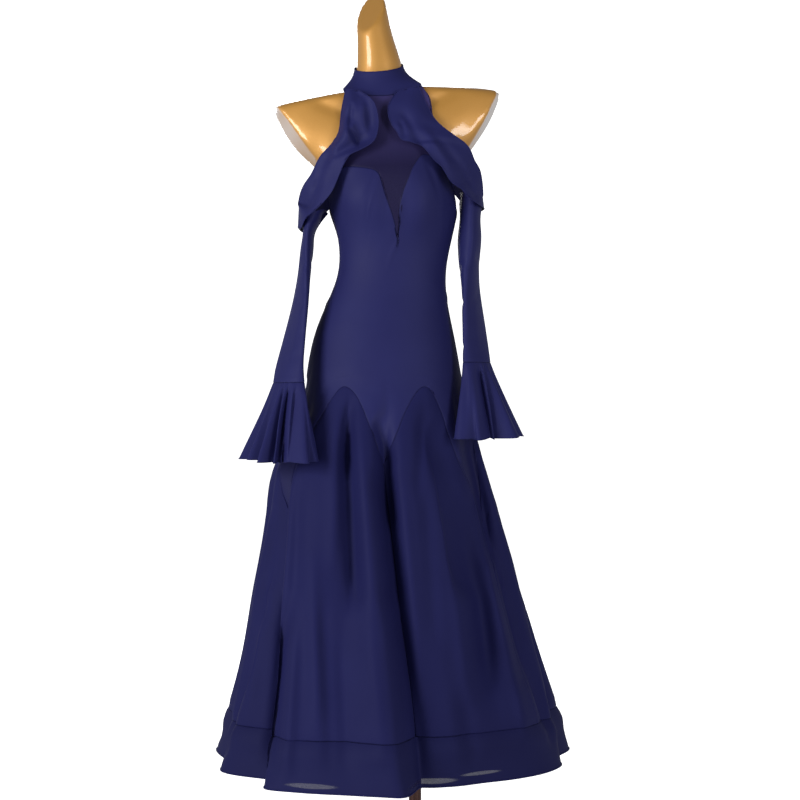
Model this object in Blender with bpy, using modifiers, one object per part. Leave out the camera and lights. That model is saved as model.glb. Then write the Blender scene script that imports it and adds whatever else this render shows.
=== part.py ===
"""Ballroom dance dress on a limbless dress form with a pole stand.

Metres, +Z up, the front faces -Y. The origin is the centre of the base's underside, under the pole.
Every cloth piece is an open surface that Solidify makes a thin wall, and its outline is a run of
seams on one shared dress surface: elliptical sections stacked by height, which turn into the folds
of the skirt below the hip.
"""

import math
from types import SimpleNamespace

import bmesh
import bpy
from mathutils import Vector

# ---------------------------------------------------------------- driving sizes
WALL = 0.0015  # close cloth: bodice, sleeves and collar
THIN_WALL = 0.0012  # light cloth: gores, underskirt, ruffles, cuffs and net
SEAM_GAP = 0.0008  # between two pieces at a seam
SHARPEST = 0.09  # a seam's sharpest corner, as the sine of half its angle
FORM_CLEARANCE = 0.0007  # between the form and the cloth's inner face
SHOULDER_SLACK = 0.0045  # more room above the bust

HEM = 0.160  # the dress clears the floor by this
BAND_TOP = 0.250
HIP = 0.900  # the gores' apexes
ARMPIT = 1.254
UNDERSKIRT_HEM = 0.181
UNDERSKIRT_TOP = 0.560
UNDERSKIRT_EASE_HEM, UNDERSKIRT_EASE_TOP = 0.0100, 0.0026  # how far inside the outer face it hangs

COLUMNS_PER_FOLD = 2
GORE_ROWS = 8
BAND_ROWS = 2
UNDERSKIRT_ROWS = 5
TONGUE_ROWS = 3
BODICE_LEVELS = (0.930, 0.994, 1.054, 1.104, 1.150)  # rows that the front, the back and the form share
BACK_LEVELS = (1.195, 1.240, 1.262, 1.290, 1.325, 1.370, 1.420, 1.458, 1.477)
CUP_ROWS = 3
YOKE_ROWS = 7
COLLAR_ROWS = 3
COLLAR_COLUMNS = 36
SLEEVE_COLUMNS = 20
CUFF_ROWS = 3
RUFFLE_ROWS = 4

POLE_RADIUS = 0.0125
BASE_RADIUS = 0.160
BASE_HEIGHT = 0.012
HUB_RADIUS = 0.024
HUB_HEIGHT = 0.030
FLANGE_RADIUS = 0.035
FLANGE_HEIGHT = 0.006
FORM_BOTTOM = 0.740
REST_GAP = 0.0003  # between pieces that rest on each other

SHOULDER_TILT = 0.0746  # the right shoulder is higher: rise for each metre across
TILT_START, TILT_FULL = 1.250, 1.400

BUST_TURN = 30.0  # degrees from the centre front to each cup's crown
BUST_HEIGHT = 1.268
BUST_RISE = 0.013
BUST_WIDTH = 19.0  # degrees
BUST_LENGTH = 0.052


class SmoothTable:
    """Rows of named columns against a rising first column, joined smoothly and without overshoot."""

    def __init__(self, names, rows):
        self.names = names
        self.keys = [row[0] for row in rows]
        self.columns = [[row[i + 1] for row in rows] for i in range(len(names))]
        self.slopes = [self._slopes(column) for column in self.columns]

    def _slopes(self, values):
        secants = [
            (b - a) / (kb - ka)
            for a, b, ka, kb in zip(values, values[1:], self.keys, self.keys[1:])
        ]
        inner = [
            2 * a * b / (a + b) if a * b > 0 else 0.0 for a, b in zip(secants, secants[1:])
        ]
        return [secants[0], *inner, secants[-1]]

    def at(self, key):
        key = min(max(key, self.keys[0]), self.keys[-1])
        i = 0
        while i < len(self.keys) - 2 and key > self.keys[i + 1]:
            i += 1
        span = self.keys[i + 1] - self.keys[i]
        t = (key - self.keys[i]) / span
        start, end = (1 + 2 * t) * (1 - t) ** 2, t * t * (3 - 2 * t)
        leave, arrive = t * (1 - t) ** 2 * span, t * t * (t - 1) * span
        found = {
            name: start * values[i] + end * values[i + 1] + leave * slopes[i] + arrive * slopes[i + 1]
            for name, values, slopes in zip(self.names, self.columns, self.slopes)
        }
        return SimpleNamespace(**found)


# The dress's outer surface. half is the half width; front and back are depths from the centre line.
SECTIONS = SmoothTable(
    ("centre", "half", "front", "back"),
    (
        (0.160, -0.044, 0.345, 0.338, 0.335),
        (0.184, -0.044, 0.342, 0.335, 0.333),
        (0.234, -0.045, 0.326, 0.319, 0.316),
        (0.268, -0.046, 0.325, 0.318, 0.314),
        (0.314, -0.047, 0.307, 0.296, 0.296),
        (0.374, -0.050, 0.290, 0.276, 0.278),
        (0.474, -0.056, 0.268, 0.250, 0.255),
        (0.574, -0.060, 0.246, 0.224, 0.233),
        (0.674, -0.066, 0.226, 0.199, 0.212),
        (0.734, -0.070, 0.213, 0.183, 0.198),
        (0.776, -0.068, 0.198, 0.166, 0.182),
        (0.804, -0.065, 0.188, 0.153, 0.171),
        (0.846, -0.063, 0.173, 0.136, 0.156),
        (0.900, -0.060, 0.158, 0.118, 0.141),
        (0.954, -0.064, 0.1505, 0.108, 0.130),
        (0.994, -0.062, 0.142, 0.100, 0.118),
        (1.034, -0.059, 0.131, 0.092, 0.104),
        (1.074, -0.055, 0.119, 0.085, 0.092),
        (1.114, -0.048, 0.110, 0.080, 0.084),
        (1.144, -0.044, 0.108, 0.080, 0.082),
        (1.174, -0.042, 0.110, 0.083, 0.083),
        (1.214, -0.040, 0.118, 0.092, 0.087),
        (1.254, -0.044, 0.130, 0.103, 0.092),
        (1.310, -0.050, 0.137, 0.103, 0.095),
        (1.352, -0.054, 0.166, 0.090, 0.094),
        (1.400, -0.056, 0.235, 0.077, 0.090),
        (1.440, -0.056, 0.270, 0.067, 0.083),
        (1.464, -0.057, 0.262, 0.061, 0.075),
        (1.477, -0.059, 0.238, 0.058, 0.068),
        (1.484, -0.061, 0.200, 0.057, 0.064),
        (1.490, -0.064, 0.150, 0.0565, 0.061),
        (1.494, -0.066, 0.104, 0.056, 0.060),
        (1.498, -0.068, 0.0755, 0.0555, 0.058),
    ),
)

# Half the width between the two armhole edges, above the armpit.
ARMHOLE = SmoothTable(
    ("half",),
    (
        (1.254, 0.1300),
        (1.280, 0.1235),
        (1.310, 0.1150),
        (1.352, 0.1050),
        (1.400, 0.0950),
        (1.440, 0.0885),
        (1.464, 0.0850),
        (1.484, 0.0810),
        (1.494, 0.0770),
        (1.498, 0.0745),
    ),
)

# Crests and valleys round the skirt, from the centre back round by the left (-X) side. top and hem
# are their angles in degrees at the hip and at the hem; mid and out are how far they stand out
# halfway down and at the hem. The tongues of the bodice end at -180, -120, -60, 0, 60 and 120, and
# the gores' apexes are at -150, -90, -30, 30, 90 and 150.
FOLDS = (
    (-180.0, -178.0, -0.008, -0.034),
    (-165.0, -165.0, 0.003, 0.020),
    (-150.0, -151.0, 0.005, 0.010),
    (-135.0, -137.0, -0.004, -0.012),
    (-120.0, -123.0, -0.010, -0.034),
    (-107.0, -108.0, 0.004, 0.028),
    (-90.0, -94.0, 0.002, 0.004),
    (-77.0, -82.0, -0.003, -0.016),
    (-68.0, -66.0, 0.002, 0.012),
    (-60.0, -47.0, -0.014, -0.028),
    (-50.0, -39.0, 0.010, 0.030),
    (-40.0, -30.0, 0.010, 0.026),
    (-30.0, -21.0, 0.004, 0.018),
    (-20.0, -12.0, -0.007, 0.014),
    (-10.0, -3.0, 0.006, 0.020),
    (-4.0, 4.0, 0.002, 0.022),
    (2.0, 9.5, -0.020, -0.048),
    (9.0, 15.0, 0.000, -0.050),
    (18.0, 24.0, 0.006, -0.047),
    (30.0, 35.0, 0.000, -0.048),
    (42.0, 46.0, -0.010, -0.036),
    (52.0, 55.0, 0.000, -0.024),
    (60.0, 65.0, -0.010, -0.012),
    (75.0, 77.0, 0.003, -0.006),
    (90.0, 90.0, 0.000, -0.018),
    (105.0, 107.0, 0.005, 0.030),
    (120.0, 122.0, -0.010, -0.026),
    (135.0, 136.0, 0.004, 0.014),
    (150.0, 151.0, 0.004, 0.018),
    (165.0, 166.0, -0.003, -0.010),
)
FOLD_TOP, FOLD_HEM, FOLD_MID, FOLD_OUT = range(4)
TONGUES = {-180.0: 0.745, -120.0: 0.640, -60.0: 0.625, 2.0: 0.750, 60.0: 0.620, 120.0: 0.640}
APEXES = (-150.0, -90.0, -30.0, 30.0, 90.0, 150.0)
SEAM_CURVE = 1.9  # how the seam falls away from an apex: 1 is straight, 2 a round arch
FOLD_OPENING = 1.6  # how late the folds open on their way down: 1 is evenly


def clamp(value, low=0.0, high=1.0):
    return min(max(value, low), high)


def mix(a, b, t):
    return a + (b - a) * t


def ease(t):
    t = clamp(t)
    return t * t * (3 - 2 * t)


def through(values, u, period=None):
    """A smooth curve through values at 0, 1, 2..., closed if period is what one round adds."""
    count = len(values)

    def value(i):
        if period is None:
            return values[min(max(i, 0), count - 1)]
        return values[i % count] + period * (i // count)

    i = math.floor(u) if period is not None else min(math.floor(u), count - 2)
    t = u - i
    before, a, b, after = value(i - 1), value(i), value(i + 1), value(i + 2)
    leave, arrive = (b - before) / 2, (after - a) / 2
    return (
        (1 + 2 * t) * (1 - t) ** 2 * a
        + t * t * (3 - 2 * t) * b
        + t * (1 - t) ** 2 * leave
        + t * t * (t - 1) * arrive
    )


# ---------------------------------------------------------------- the shared dress surface
def tilted(point, height):
    """The shoulders' tilt, which fades out below the bust."""
    share = ease((height - TILT_START) / (TILT_FULL - TILT_START))
    centre = SECTIONS.at(height).centre
    return Vector((point.x, point.y, point.z + SHOULDER_TILT * share * (point.x - centre)))


def section_point(turn, height, inset=0.0):
    """On the section at a height, turn degrees round from the centre front towards +X."""
    section = SECTIONS.at(height)
    angle = math.radians(turn)
    depth = section.front if math.cos(angle) > 0 else section.back
    x = (section.half - inset) * math.sin(angle)
    y = -(depth - inset) * math.cos(angle)
    around = (abs((turn + 180) % 360 - 180) - BUST_TURN) / BUST_WIDTH
    along = (height - BUST_HEIGHT) / BUST_LENGTH
    y -= BUST_RISE * math.exp(-around * around - along * along)
    return Vector((section.centre + x, y, height))


def bodice_point(across, height, back=False):
    """across runs from -1 to 1 between the side seams, and above them between the armhole edges."""
    section = SECTIONS.at(height)
    half = min(section.half, ARMHOLE.at(height).half) if height > ARMPIT else section.half
    reach = clamp(half / section.half * math.sin(math.radians(90 * across)), -1, 1)
    turn = math.degrees(math.asin(reach))
    return tilted(section_point(180 - turn if back else turn, height), height)


def fold_value(u, column):
    values = [row[column] for row in FOLDS]
    period = 360.0 if column in (FOLD_TOP, FOLD_HEM) else 0.0
    return through(values, u, period)


def skirt_point(u, height, inward=0.0):
    """u counts the rows of FOLDS; a height above the hip lies on the body."""
    top = fold_value(u, FOLD_TOP)
    if height >= HIP:
        return section_point(top, height)
    fall = (HIP - height) / (HIP - HEM)
    turn = math.radians(mix(top, fold_value(u, FOLD_HEM), ease(fall)))
    out = fold_value(u, FOLD_MID) * math.sin(math.pi * fall) + fold_value(u, FOLD_OUT) * fall**FOLD_OPENING
    section = SECTIONS.at(height)
    depth = section.front if math.cos(turn) > 0 else section.back
    x = (section.half + out - inward) * math.sin(turn)
    y = -(depth + out - inward) * math.cos(turn)
    return Vector((section.centre + x, y, height))


def seam_height(top):
    """Height of the zig-zag hip seam at an angle: up to each apex, down to each tongue."""
    top = (top + 180) % 360 - 180
    apex = min(APEXES, key=lambda a: abs(a - top))
    tongues = sorted([*TONGUES, 180.0])
    side = min((t for t in tongues if (t - apex) * (top - apex) >= 0), key=lambda t: abs(t - apex))
    low = TONGUES[-180.0] if side == 180.0 else TONGUES[side]
    return HIP - (HIP - low) * abs((top - apex) / (side - apex)) ** SEAM_CURVE


# ---------------------------------------------------------------- making pieces
def collection(name):
    made = bpy.data.collections.new(name)
    bpy.context.scene.collection.children.link(made)
    return made


def material(name, colour, roughness, metallic=0.0):
    made = bpy.data.materials.new(name)
    made.use_nodes = True
    shader = made.node_tree.nodes["Principled BSDF"]
    shader.inputs["Base Color"].default_value = (*colour, 1.0)
    shader.inputs["Roughness"].default_value = roughness
    shader.inputs["Metallic"].default_value = metallic
    made.diffuse_color = (*colour, 1.0)
    return made


def add_object(name, mesh, finish, parts):
    made = bpy.data.objects.new(name, mesh)
    mesh.materials.append(finish)
    parts.objects.link(made)
    return made


def outward(grid, r, c, closed):
    """The unit normal at a point of a grid whose rows go up and whose columns go anticlockwise."""
    last_row, width = len(grid) - 1, len(grid[0])
    if closed:
        across = grid[r][(c + 1) % width] - grid[r][c - 1]
    else:
        across = grid[r][min(c + 1, width - 1)] - grid[r][max(c - 1, 0)]
    up = grid[min(r + 1, last_row)][c] - grid[max(r - 1, 0)][c]
    return across.cross(up).normalized()


def trimmed(grid, closed=False):
    """The grid with its border moved in by half a seam's gap, mitred at its corners."""
    last_row, last = len(grid) - 1, len(grid[0]) - 1
    ring = range(last + 1)
    if closed:
        borders = [[(0, c) for c in ring], [(last_row, c) for c in reversed(ring)]]
    else:
        bottom = [(0, c) for c in range(last)]
        right = [(r, last) for r in range(last_row)]
        top = [(last_row, c) for c in range(last, 0, -1)]
        left = [(r, 0) for r in range(last_row, 0, -1)]
        borders = [bottom + right + top + left]
    moved = [list(row) for row in grid]
    for border in borders:
        for i, (r, c) in enumerate(border):
            here = grid[r][c]
            before, after = border[i - 1], border[(i + 1) % len(border)]
            up = outward(grid, r, c, closed)
            arriving = up.cross(here - grid[before[0]][before[1]]).normalized()
            leaving = up.cross(grid[after[0]][after[1]] - here).normalized()
            both = arriving + leaving
            mitre = max(both.length / 2, SHARPEST)
            moved[r][c] = here + both.normalized() * (SEAM_GAP / 2) / mitre
    return moved


def cloth(name, grid, wall, finish, parts, closed=False, offset=-1.0):
    """A wall from a grid of points: rows upwards, columns anticlockwise seen from above."""
    width = len(grid[0])
    vertices = [point for row in grid for point in row]
    faces = []
    for r in range(len(grid) - 1):
        for c in range(width if closed else width - 1):
            n = (c + 1) % width
            a, b = r * width + c, r * width + n
            faces.append((a, b, b + width, a + width))
    mesh = bpy.data.meshes.new(name)
    mesh.from_pydata(vertices, [], faces)
    mesh.shade_smooth()
    made = add_object(name, mesh, finish, parts)
    solid = made.modifiers.new("Wall", "SOLIDIFY")
    solid.thickness = wall
    solid.offset = offset
    return made


# ---------------------------------------------------------------- skirt
# The sewn order of the gores: each lies between two tongues, given as rows of FOLDS.
GORES = (("gore_1", 0, 4), ("gore_2", 4, 9), ("gore_3", 9, 16), ("gore_4", 16, 22), ("gore_5", 22, 26),
         ("gore_6", 26, 30))
LEFT_SIDE, RIGHT_SIDE = 6, 24  # the rows of FOLDS at the two side seams


def fold_steps(first, last):
    """The columns between two rows of FOLDS, both included."""
    return [first + i / COLUMNS_PER_FOLD for i in range((last - first) * COLUMNS_PER_FOLD + 1)]


def make_gores(finish, parts):
    for name, first, last in GORES:
        steps = fold_steps(first, last)
        tops = [seam_height(fold_value(u, FOLD_TOP)) for u in steps]
        grid = [
            [skirt_point(u, mix(BAND_TOP, top, r / GORE_ROWS)) for u, top in zip(steps, tops)]
            for r in range(GORE_ROWS + 1)
        ]
        cloth(name, trimmed(grid), THIN_WALL, finish, parts)


def make_hem_band(finish, parts):
    steps = fold_steps(0, len(FOLDS))[:-1]
    grid = [
        [skirt_point(u, mix(HEM, BAND_TOP, r / BAND_ROWS)) for u in steps] for r in range(BAND_ROWS + 1)
    ]
    cloth("hem_band", trimmed(grid, closed=True), THIN_WALL, finish, parts, closed=True)


def make_underskirt(finish, parts):
    """The inner layer follows the outer folds and hangs freer towards its hem."""
    steps = fold_steps(0, len(FOLDS))[:-1]
    grid = []
    for r in range(UNDERSKIRT_ROWS + 1):
        share = r / UNDERSKIRT_ROWS
        height = mix(UNDERSKIRT_HEM, UNDERSKIRT_TOP, share)
        inward = mix(UNDERSKIRT_EASE_HEM, UNDERSKIRT_EASE_TOP, share**2)
        grid.append([skirt_point(u, height, inward) for u in steps])
    cloth("underskirt", grid, THIN_WALL, finish, parts, closed=True)


# ---------------------------------------------------------------- bodice, yoke and collar
# The yoke's seam on each side, by share of the way from the tip of the V to the armhole.
V_LEFT = SmoothTable(
    ("across", "height"),
    (
        (0.00, 0.035, 1.186),
        (0.30, -0.061, 1.270),
        (0.50, -0.119, 1.314),
        (0.62, -0.175, 1.323),
        (0.82, -0.570, 1.333),
        (1.00, -1.000, 1.328),
    ),
)
V_RIGHT = SmoothTable(
    ("across", "height"),
    (
        (0.00, 0.035, 1.186),
        (0.20, 0.055, 1.236),
        (0.36, 0.116, 1.276),
        (0.50, 0.220, 1.309),
        (0.62, 0.326, 1.334),
        (0.76, 0.482, 1.350),
        (0.89, 0.755, 1.340),
        (1.00, 1.000, 1.324),
    ),
)
V_TIP = 16  # the row of FOLDS that runs up to the V
FOOT_FRONT, FOOT_SIDE, FOOT_BACK = 1.4725, 1.4970, 1.4850  # heights of the collar's foot
FOOT_SHARE = 0.85  # how far round the foot the yoke and the back reach, from their centres to the sides
FOOT_LIFT = 0.001  # the collar stands this far above the panels' seam line
FOOT_CURVE = 1.6  # how the foot rises from the middle to the sides
SIDE_SEAM_CURVE = 3  # a panel keeps the hip's columns low down and takes its own near the top
YOKE_SEAM_SHARE = 0.65  # how far the yoke's columns at the foot follow those at its seam
COLLAR_TOP_FRONT = 1.522
COLLAR_TOP_RISE = 0.036  # the back of the collar stands higher
COLLAR_TOP_CENTRE = -0.0724
COLLAR_TOP_HALF, COLLAR_TOP_DEPTH = 0.0485, 0.0495
COLLAR_FLARE = 1.6


def yoke_seam(u):
    if u <= V_TIP:
        return V_LEFT.at((V_TIP - u) / (V_TIP - LEFT_SIDE))
    return V_RIGHT.at((u - V_TIP) / (RIGHT_SIDE - V_TIP))


def foot_height(across, back=False):
    return mix(FOOT_BACK if back else FOOT_FRONT, FOOT_SIDE, abs(across) ** FOOT_CURVE)


def panel_column(u, across, height, upper, back=False):
    """A column of a bodice panel, from the zig-zag seam up to a point given by across and height."""
    top = fold_value(u, FOLD_TOP)
    hip_across = (180 - top) / 90 if back else top / 90
    low = seam_height(top)
    first = BODICE_LEVELS[0]
    heights = [mix(low, first, r / TONGUE_ROWS) for r in range(TONGUE_ROWS)]
    heights += [*BODICE_LEVELS, *upper, height]
    column = []
    for level in heights:
        if level < HIP:
            column.append(skirt_point(u, level))
        else:
            here = mix(hip_across, across, ((level - HIP) / (height - HIP)) ** SIDE_SEAM_CURVE)
            column.append(bodice_point(here, level, back))
    return column


def panel(name, columns, finish, parts):
    grid = [list(row) for row in zip(*columns)]
    cloth(name, trimmed(grid), WALL, finish, parts)


def make_bodice(finish, parts):
    front = []
    for u in fold_steps(LEFT_SIDE, RIGHT_SIDE):
        seam = yoke_seam(u)
        cup = [mix(BODICE_LEVELS[-1], seam.height, r / CUP_ROWS) for r in range(1, CUP_ROWS)]
        front.append(panel_column(u, seam.across, seam.height, cup))
    panel("bodice_front", front, finish, parts)
    back = []
    steps = fold_steps(RIGHT_SIDE, LEFT_SIDE + len(FOLDS))
    for i, u in enumerate(steps):
        across = FOOT_SHARE * (1 - 2 * i / (len(steps) - 1))
        back.append(panel_column(u, across, foot_height(across, back=True), BACK_LEVELS, back=True))
    panel("bodice_back", back, finish, parts)


def make_yoke(finish, parts):
    columns = []
    for u in fold_steps(LEFT_SIDE, RIGHT_SIDE):
        seam = yoke_seam(u)
        even = 2 * (u - LEFT_SIDE) / (RIGHT_SIDE - LEFT_SIDE) - 1
        spread = FOOT_SHARE * mix(even, seam.across, YOKE_SEAM_SHARE)
        rows = []
        for r in range(YOKE_ROWS + 1):
            share = r / YOKE_ROWS
            across = mix(seam.across, spread, share)
            rows.append(bodice_point(across, mix(seam.height, foot_height(spread), share)))
        columns.append(rows)
    grid = [list(row) for row in zip(*columns)]
    cloth("yoke_front", trimmed(grid), THIN_WALL, finish, parts)


def make_collar(finish, parts):
    grid = []
    for r in range(COLLAR_ROWS + 1):
        share = r / COLLAR_ROWS
        ring = []
        for i in range(COLLAR_COLUMNS):
            turn = 360 * i / COLLAR_COLUMNS
            back = 90 < turn < 270
            across = (180 - turn) / 90 if back else ((turn + 180) % 360 - 180) / 90
            foot = bodice_point(across, foot_height(across, back), back) + Vector((0, 0, FOOT_LIFT))
            sine, cosine = math.sin(math.radians(turn)), math.cos(math.radians(turn))
            rise = COLLAR_TOP_RISE * (1 - cosine) / 2 + SHOULDER_TILT * COLLAR_TOP_HALF * sine
            head = Vector(
                (
                    COLLAR_TOP_CENTRE + COLLAR_TOP_HALF * sine,
                    -COLLAR_TOP_DEPTH * cosine,
                    COLLAR_TOP_FRONT + rise,
                )
            )
            flare = (1 - share) ** COLLAR_FLARE
            plan = head.lerp(foot, flare)
            ring.append(Vector((plan.x, plan.y, mix(foot.z, head.z, share))))
        grid.append(ring)
    cloth("collar", trimmed(grid, closed=True), WALL, finish, parts, closed=True)


# ---------------------------------------------------------------- sleeves and cuffs
# Each empty sleeve hangs as a flat tube: x and y of its centre, half its long and short widths,
# and the turn of its long side from the X axis in degrees.
SLEEVES = {
    "left": SmoothTable(
        ("x", "y", "long", "short", "turn"),
        (
            (0.908, -0.2475, -0.080, 0.043, 0.016, -45.0),
            (0.934, -0.2470, -0.068, 0.046, 0.014, -53.0),
            (0.994, -0.2390, -0.045, 0.050, 0.012, -64.0),
            (1.074, -0.2270, -0.020, 0.053, 0.012, -75.0),
            (1.154, -0.2180, -0.004, 0.055, 0.013, -86.0),
            (1.214, -0.2110, 0.000, 0.056, 0.013, -90.0),
            (1.232, -0.2060, 0.000, 0.054, 0.021, -90.0),
            (1.248, -0.2020, 0.000, 0.050, 0.0291, -90.0),
        ),
    ),
    "right": SmoothTable(
        ("x", "y", "long", "short", "turn"),
        (
            (0.948, 0.1215, -0.048, 0.040, 0.016, 50.0),
            (0.994, 0.1190, -0.030, 0.046, 0.014, 60.0),
            (1.074, 0.1130, -0.012, 0.052, 0.014, 72.0),
            (1.154, 0.1080, -0.002, 0.055, 0.021, 84.0),
            (1.194, 0.1090, 0.000, 0.056, 0.024, 90.0),
            (1.234, 0.1100, 0.000, 0.055, 0.021, 90.0),
            (1.266, 0.1116, 0.000, 0.050, 0.0237, 90.0),
        ),
    ),
}
SLEEVE_ROWS = 10
FLOUNCE_OPENING = 1.2  # how late a cuff's waves open on their way down

# Each flounce hangs from its wrist. The wave rows are an angle round the cuff from its outer face
# in degrees, and how far the wave stands out at the hem.
CUFFS = {
    "left": SimpleNamespace(
        hem=0.760, x=-0.2660, y=-0.144, long=0.078, short=0.034, turn=-30.0,
        waves=(
            (-90, 0.004), (-66, 0.010), (-48, -0.008), (-34, 0.010), (-22, -0.009), (-10, 0.010),
            (3, -0.015), (11, 0.006), (19, -0.015), (34, 0.009), (55, 0.008), (74, -0.003),
            (90, 0.005), (112, -0.004), (135, 0.005), (158, -0.005), (180, 0.005), (202, -0.005),
            (225, 0.005), (248, -0.004),
        ),
    ),
    "right": SimpleNamespace(
        hem=0.803, x=0.1400, y=-0.098, long=0.074, short=0.032, turn=38.0,
        waves=(
            (-90, 0.004), (-70, 0.005), (-50, -0.004), (-30, 0.007), (-12, 0.008), (2, -0.020),
            (14, 0.008), (34, 0.010), (60, 0.006), (90, 0.006), (115, -0.005), (140, 0.005),
            (165, -0.005), (190, 0.005), (215, -0.005), (240, 0.004),
        ),
    ),
}


def oval_point(spot, angle, height, out=0.0):
    """On a flat oval: 0 degrees is the middle of its front, 90 the +X end of its long side."""
    turn = math.radians(spot.turn)
    along = (spot.long + out) * math.sin(math.radians(angle))
    away = (spot.short + out) * math.cos(math.radians(angle))
    x = spot.x + along * math.cos(turn) + away * math.sin(turn)
    y = spot.y + along * math.sin(turn) - away * math.cos(turn)
    return Vector((x, y, height))


def make_sleeve(side, finish, parts):
    table = SLEEVES[side]
    grid = []
    for r in range(SLEEVE_ROWS + 1):
        height = mix(table.keys[0], table.keys[-1], r / SLEEVE_ROWS)
        spot = table.at(height)
        angles = [360 * c / SLEEVE_COLUMNS for c in range(SLEEVE_COLUMNS)]
        grid.append([oval_point(spot, angle, height) for angle in angles])
    cloth(f"sleeve_{side}", trimmed(grid, closed=True), WALL, finish, parts, closed=True)


def make_cuff(side, finish, parts):
    table, cuff = SLEEVES[side], CUFFS[side]
    wrist_height = table.keys[0]
    wrist = table.at(wrist_height)
    angles = [wave[0] for wave in cuff.waves]
    outs = [wave[1] for wave in cuff.waves]
    steps = [i / 2 for i in range(2 * len(angles))]
    grid = []
    for r in range(CUFF_ROWS + 1):
        share = 1 - r / CUFF_ROWS
        names = ("x", "y", "long", "short", "turn")
        spot = SimpleNamespace(**{n: mix(getattr(wrist, n), getattr(cuff, n), share) for n in names})
        height = mix(wrist_height, cuff.hem, share)
        grid.append(
            [
                oval_point(spot, through(angles, u, 360), height, through(outs, u, 0) * share**FLOUNCE_OPENING)
                for u in steps
            ]
        )
    cloth(f"cuff_{side}", trimmed(grid, closed=True), THIN_WALL, finish, parts, closed=True)


# ---------------------------------------------------------------- ruffles
# The front half of each ruffle, from the collar to the outer arm: its sewn edge, its free edge, and
# how far the cloth between them rolls forward near the sewn edge (ridge) and near the free one.
RUFFLES = {
    "left": (
        ((-0.137, -0.056, 1.486), (-0.110, -0.066, 1.481), 0.002, 0.000),
        ((-0.1455, -0.0630, 1.440), (-0.083, -0.088, 1.458), 0.016, -0.004),
        ((-0.1502, -0.0700, 1.400), (-0.072, -0.100, 1.417), 0.024, -0.010),
        ((-0.1665, -0.0692, 1.374), (-0.080, -0.106, 1.379), 0.018, -0.008),
        ((-0.187, -0.063, 1.354), (-0.106, -0.104, 1.361), 0.006, 0.004),
        ((-0.203, -0.057, 1.329), (-0.129, -0.102, 1.349), 0.002, 0.006),
        ((-0.217, -0.046, 1.305), (-0.146, -0.096, 1.319), 0.006, 0.002),
        ((-0.227, -0.030, 1.286), (-0.163, -0.090, 1.281), 0.002, 0.006),
        ((-0.232, -0.014, 1.270), (-0.190, -0.080, 1.251), 0.000, 0.008),
        ((-0.2325, -0.022, 1.263), (-0.214, -0.070, 1.232), 0.002, 0.004),
        ((-0.2325, -0.012, 1.262), (-0.226, -0.038, 1.214), 0.000, 0.000),
    ),
    "right": (
        ((0.006, -0.057, 1.492), (-0.035, -0.064, 1.481), 0.002, 0.000),
        ((0.018, -0.0619, 1.464), (-0.051, -0.080, 1.454), 0.006, 0.004),
        ((0.033, -0.0699, 1.433), (-0.052, -0.090, 1.427), 0.008, 0.002),
        ((0.051, -0.0765, 1.411), (-0.038, -0.096, 1.399), 0.004, 0.008),
        ((0.078, -0.076, 1.391), (-0.011, -0.102, 1.377), 0.006, 0.004),
        ((0.100, -0.066, 1.376), (0.013, -0.106, 1.368), 0.002, 0.008),
        ((0.116, -0.056, 1.355), (0.036, -0.106, 1.341), 0.004, 0.004),
        ((0.127, -0.044, 1.333), (0.063, -0.100, 1.318), 0.002, 0.006),
        ((0.133, -0.028, 1.308), (0.085, -0.090, 1.294), 0.004, 0.002),
        ((0.135, -0.022, 1.288), (0.103, -0.078, 1.272), 0.002, 0.006),
        ((0.1355, -0.012, 1.281), (0.127, -0.056, 1.258), 0.002, 0.002),
    ),
}
RUFFLE_OUTSIDE = {"left": (-0.2345, 1.220), "right": (0.1385, 1.256)}  # x and height of the free edge
RUFFLE_BACK = 0.014  # the back is this much deeper than the front, where the strip lies on it
RUFFLE_BACK_FROM = 0.05  # all of it beyond this distance from the middle of the arm


def ruffle_rows(side):
    """The whole strip, front to back: the front rows, the outside, and the rows mirrored."""
    front = list(RUFFLES[side])
    x, height = RUFFLE_OUTSIDE[side]
    sewn = front[-1][0]
    outside = ((sewn[0], 0.0, sewn[2]), (x, 0.0, height), 0.0, 0.0)
    back = []
    for (ax, ay, az), (fx, fy, fz), ridge, hollow in reversed(front):
        deeper = RUFFLE_BACK * clamp(-ay / RUFFLE_BACK_FROM)
        back.append(((ax, deeper - ay, az), (fx, deeper - fy, fz), -ridge / 2, -hollow / 2))
    return front + [outside] + back


def make_ruffle(side, finish, parts):
    rows = ruffle_rows(side)
    steps = [i / 2 for i in range(2 * (len(rows) - 1) + 1)]
    if side == "left":
        steps.reverse()
    grid = []
    for r in range(RUFFLE_ROWS + 1):
        share = r / RUFFLE_ROWS
        line = []
        for u in steps:
            sewn = Vector([through([row[0][i] for row in rows], u) for i in range(3)])
            free = Vector([through([row[1][i] for row in rows], u) for i in range(3)])
            ridge = through([row[2] for row in rows], u)
            hollow = through([row[3] for row in rows], u)
            lift = through([0.0, hollow, ridge, 0.0], share * 3)
            line.append(free.lerp(sewn, share) - Vector((0, lift, 0)))
        grid.append(line)
    cloth(f"ruffle_{side}", grid, THIN_WALL, finish, parts)


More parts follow.
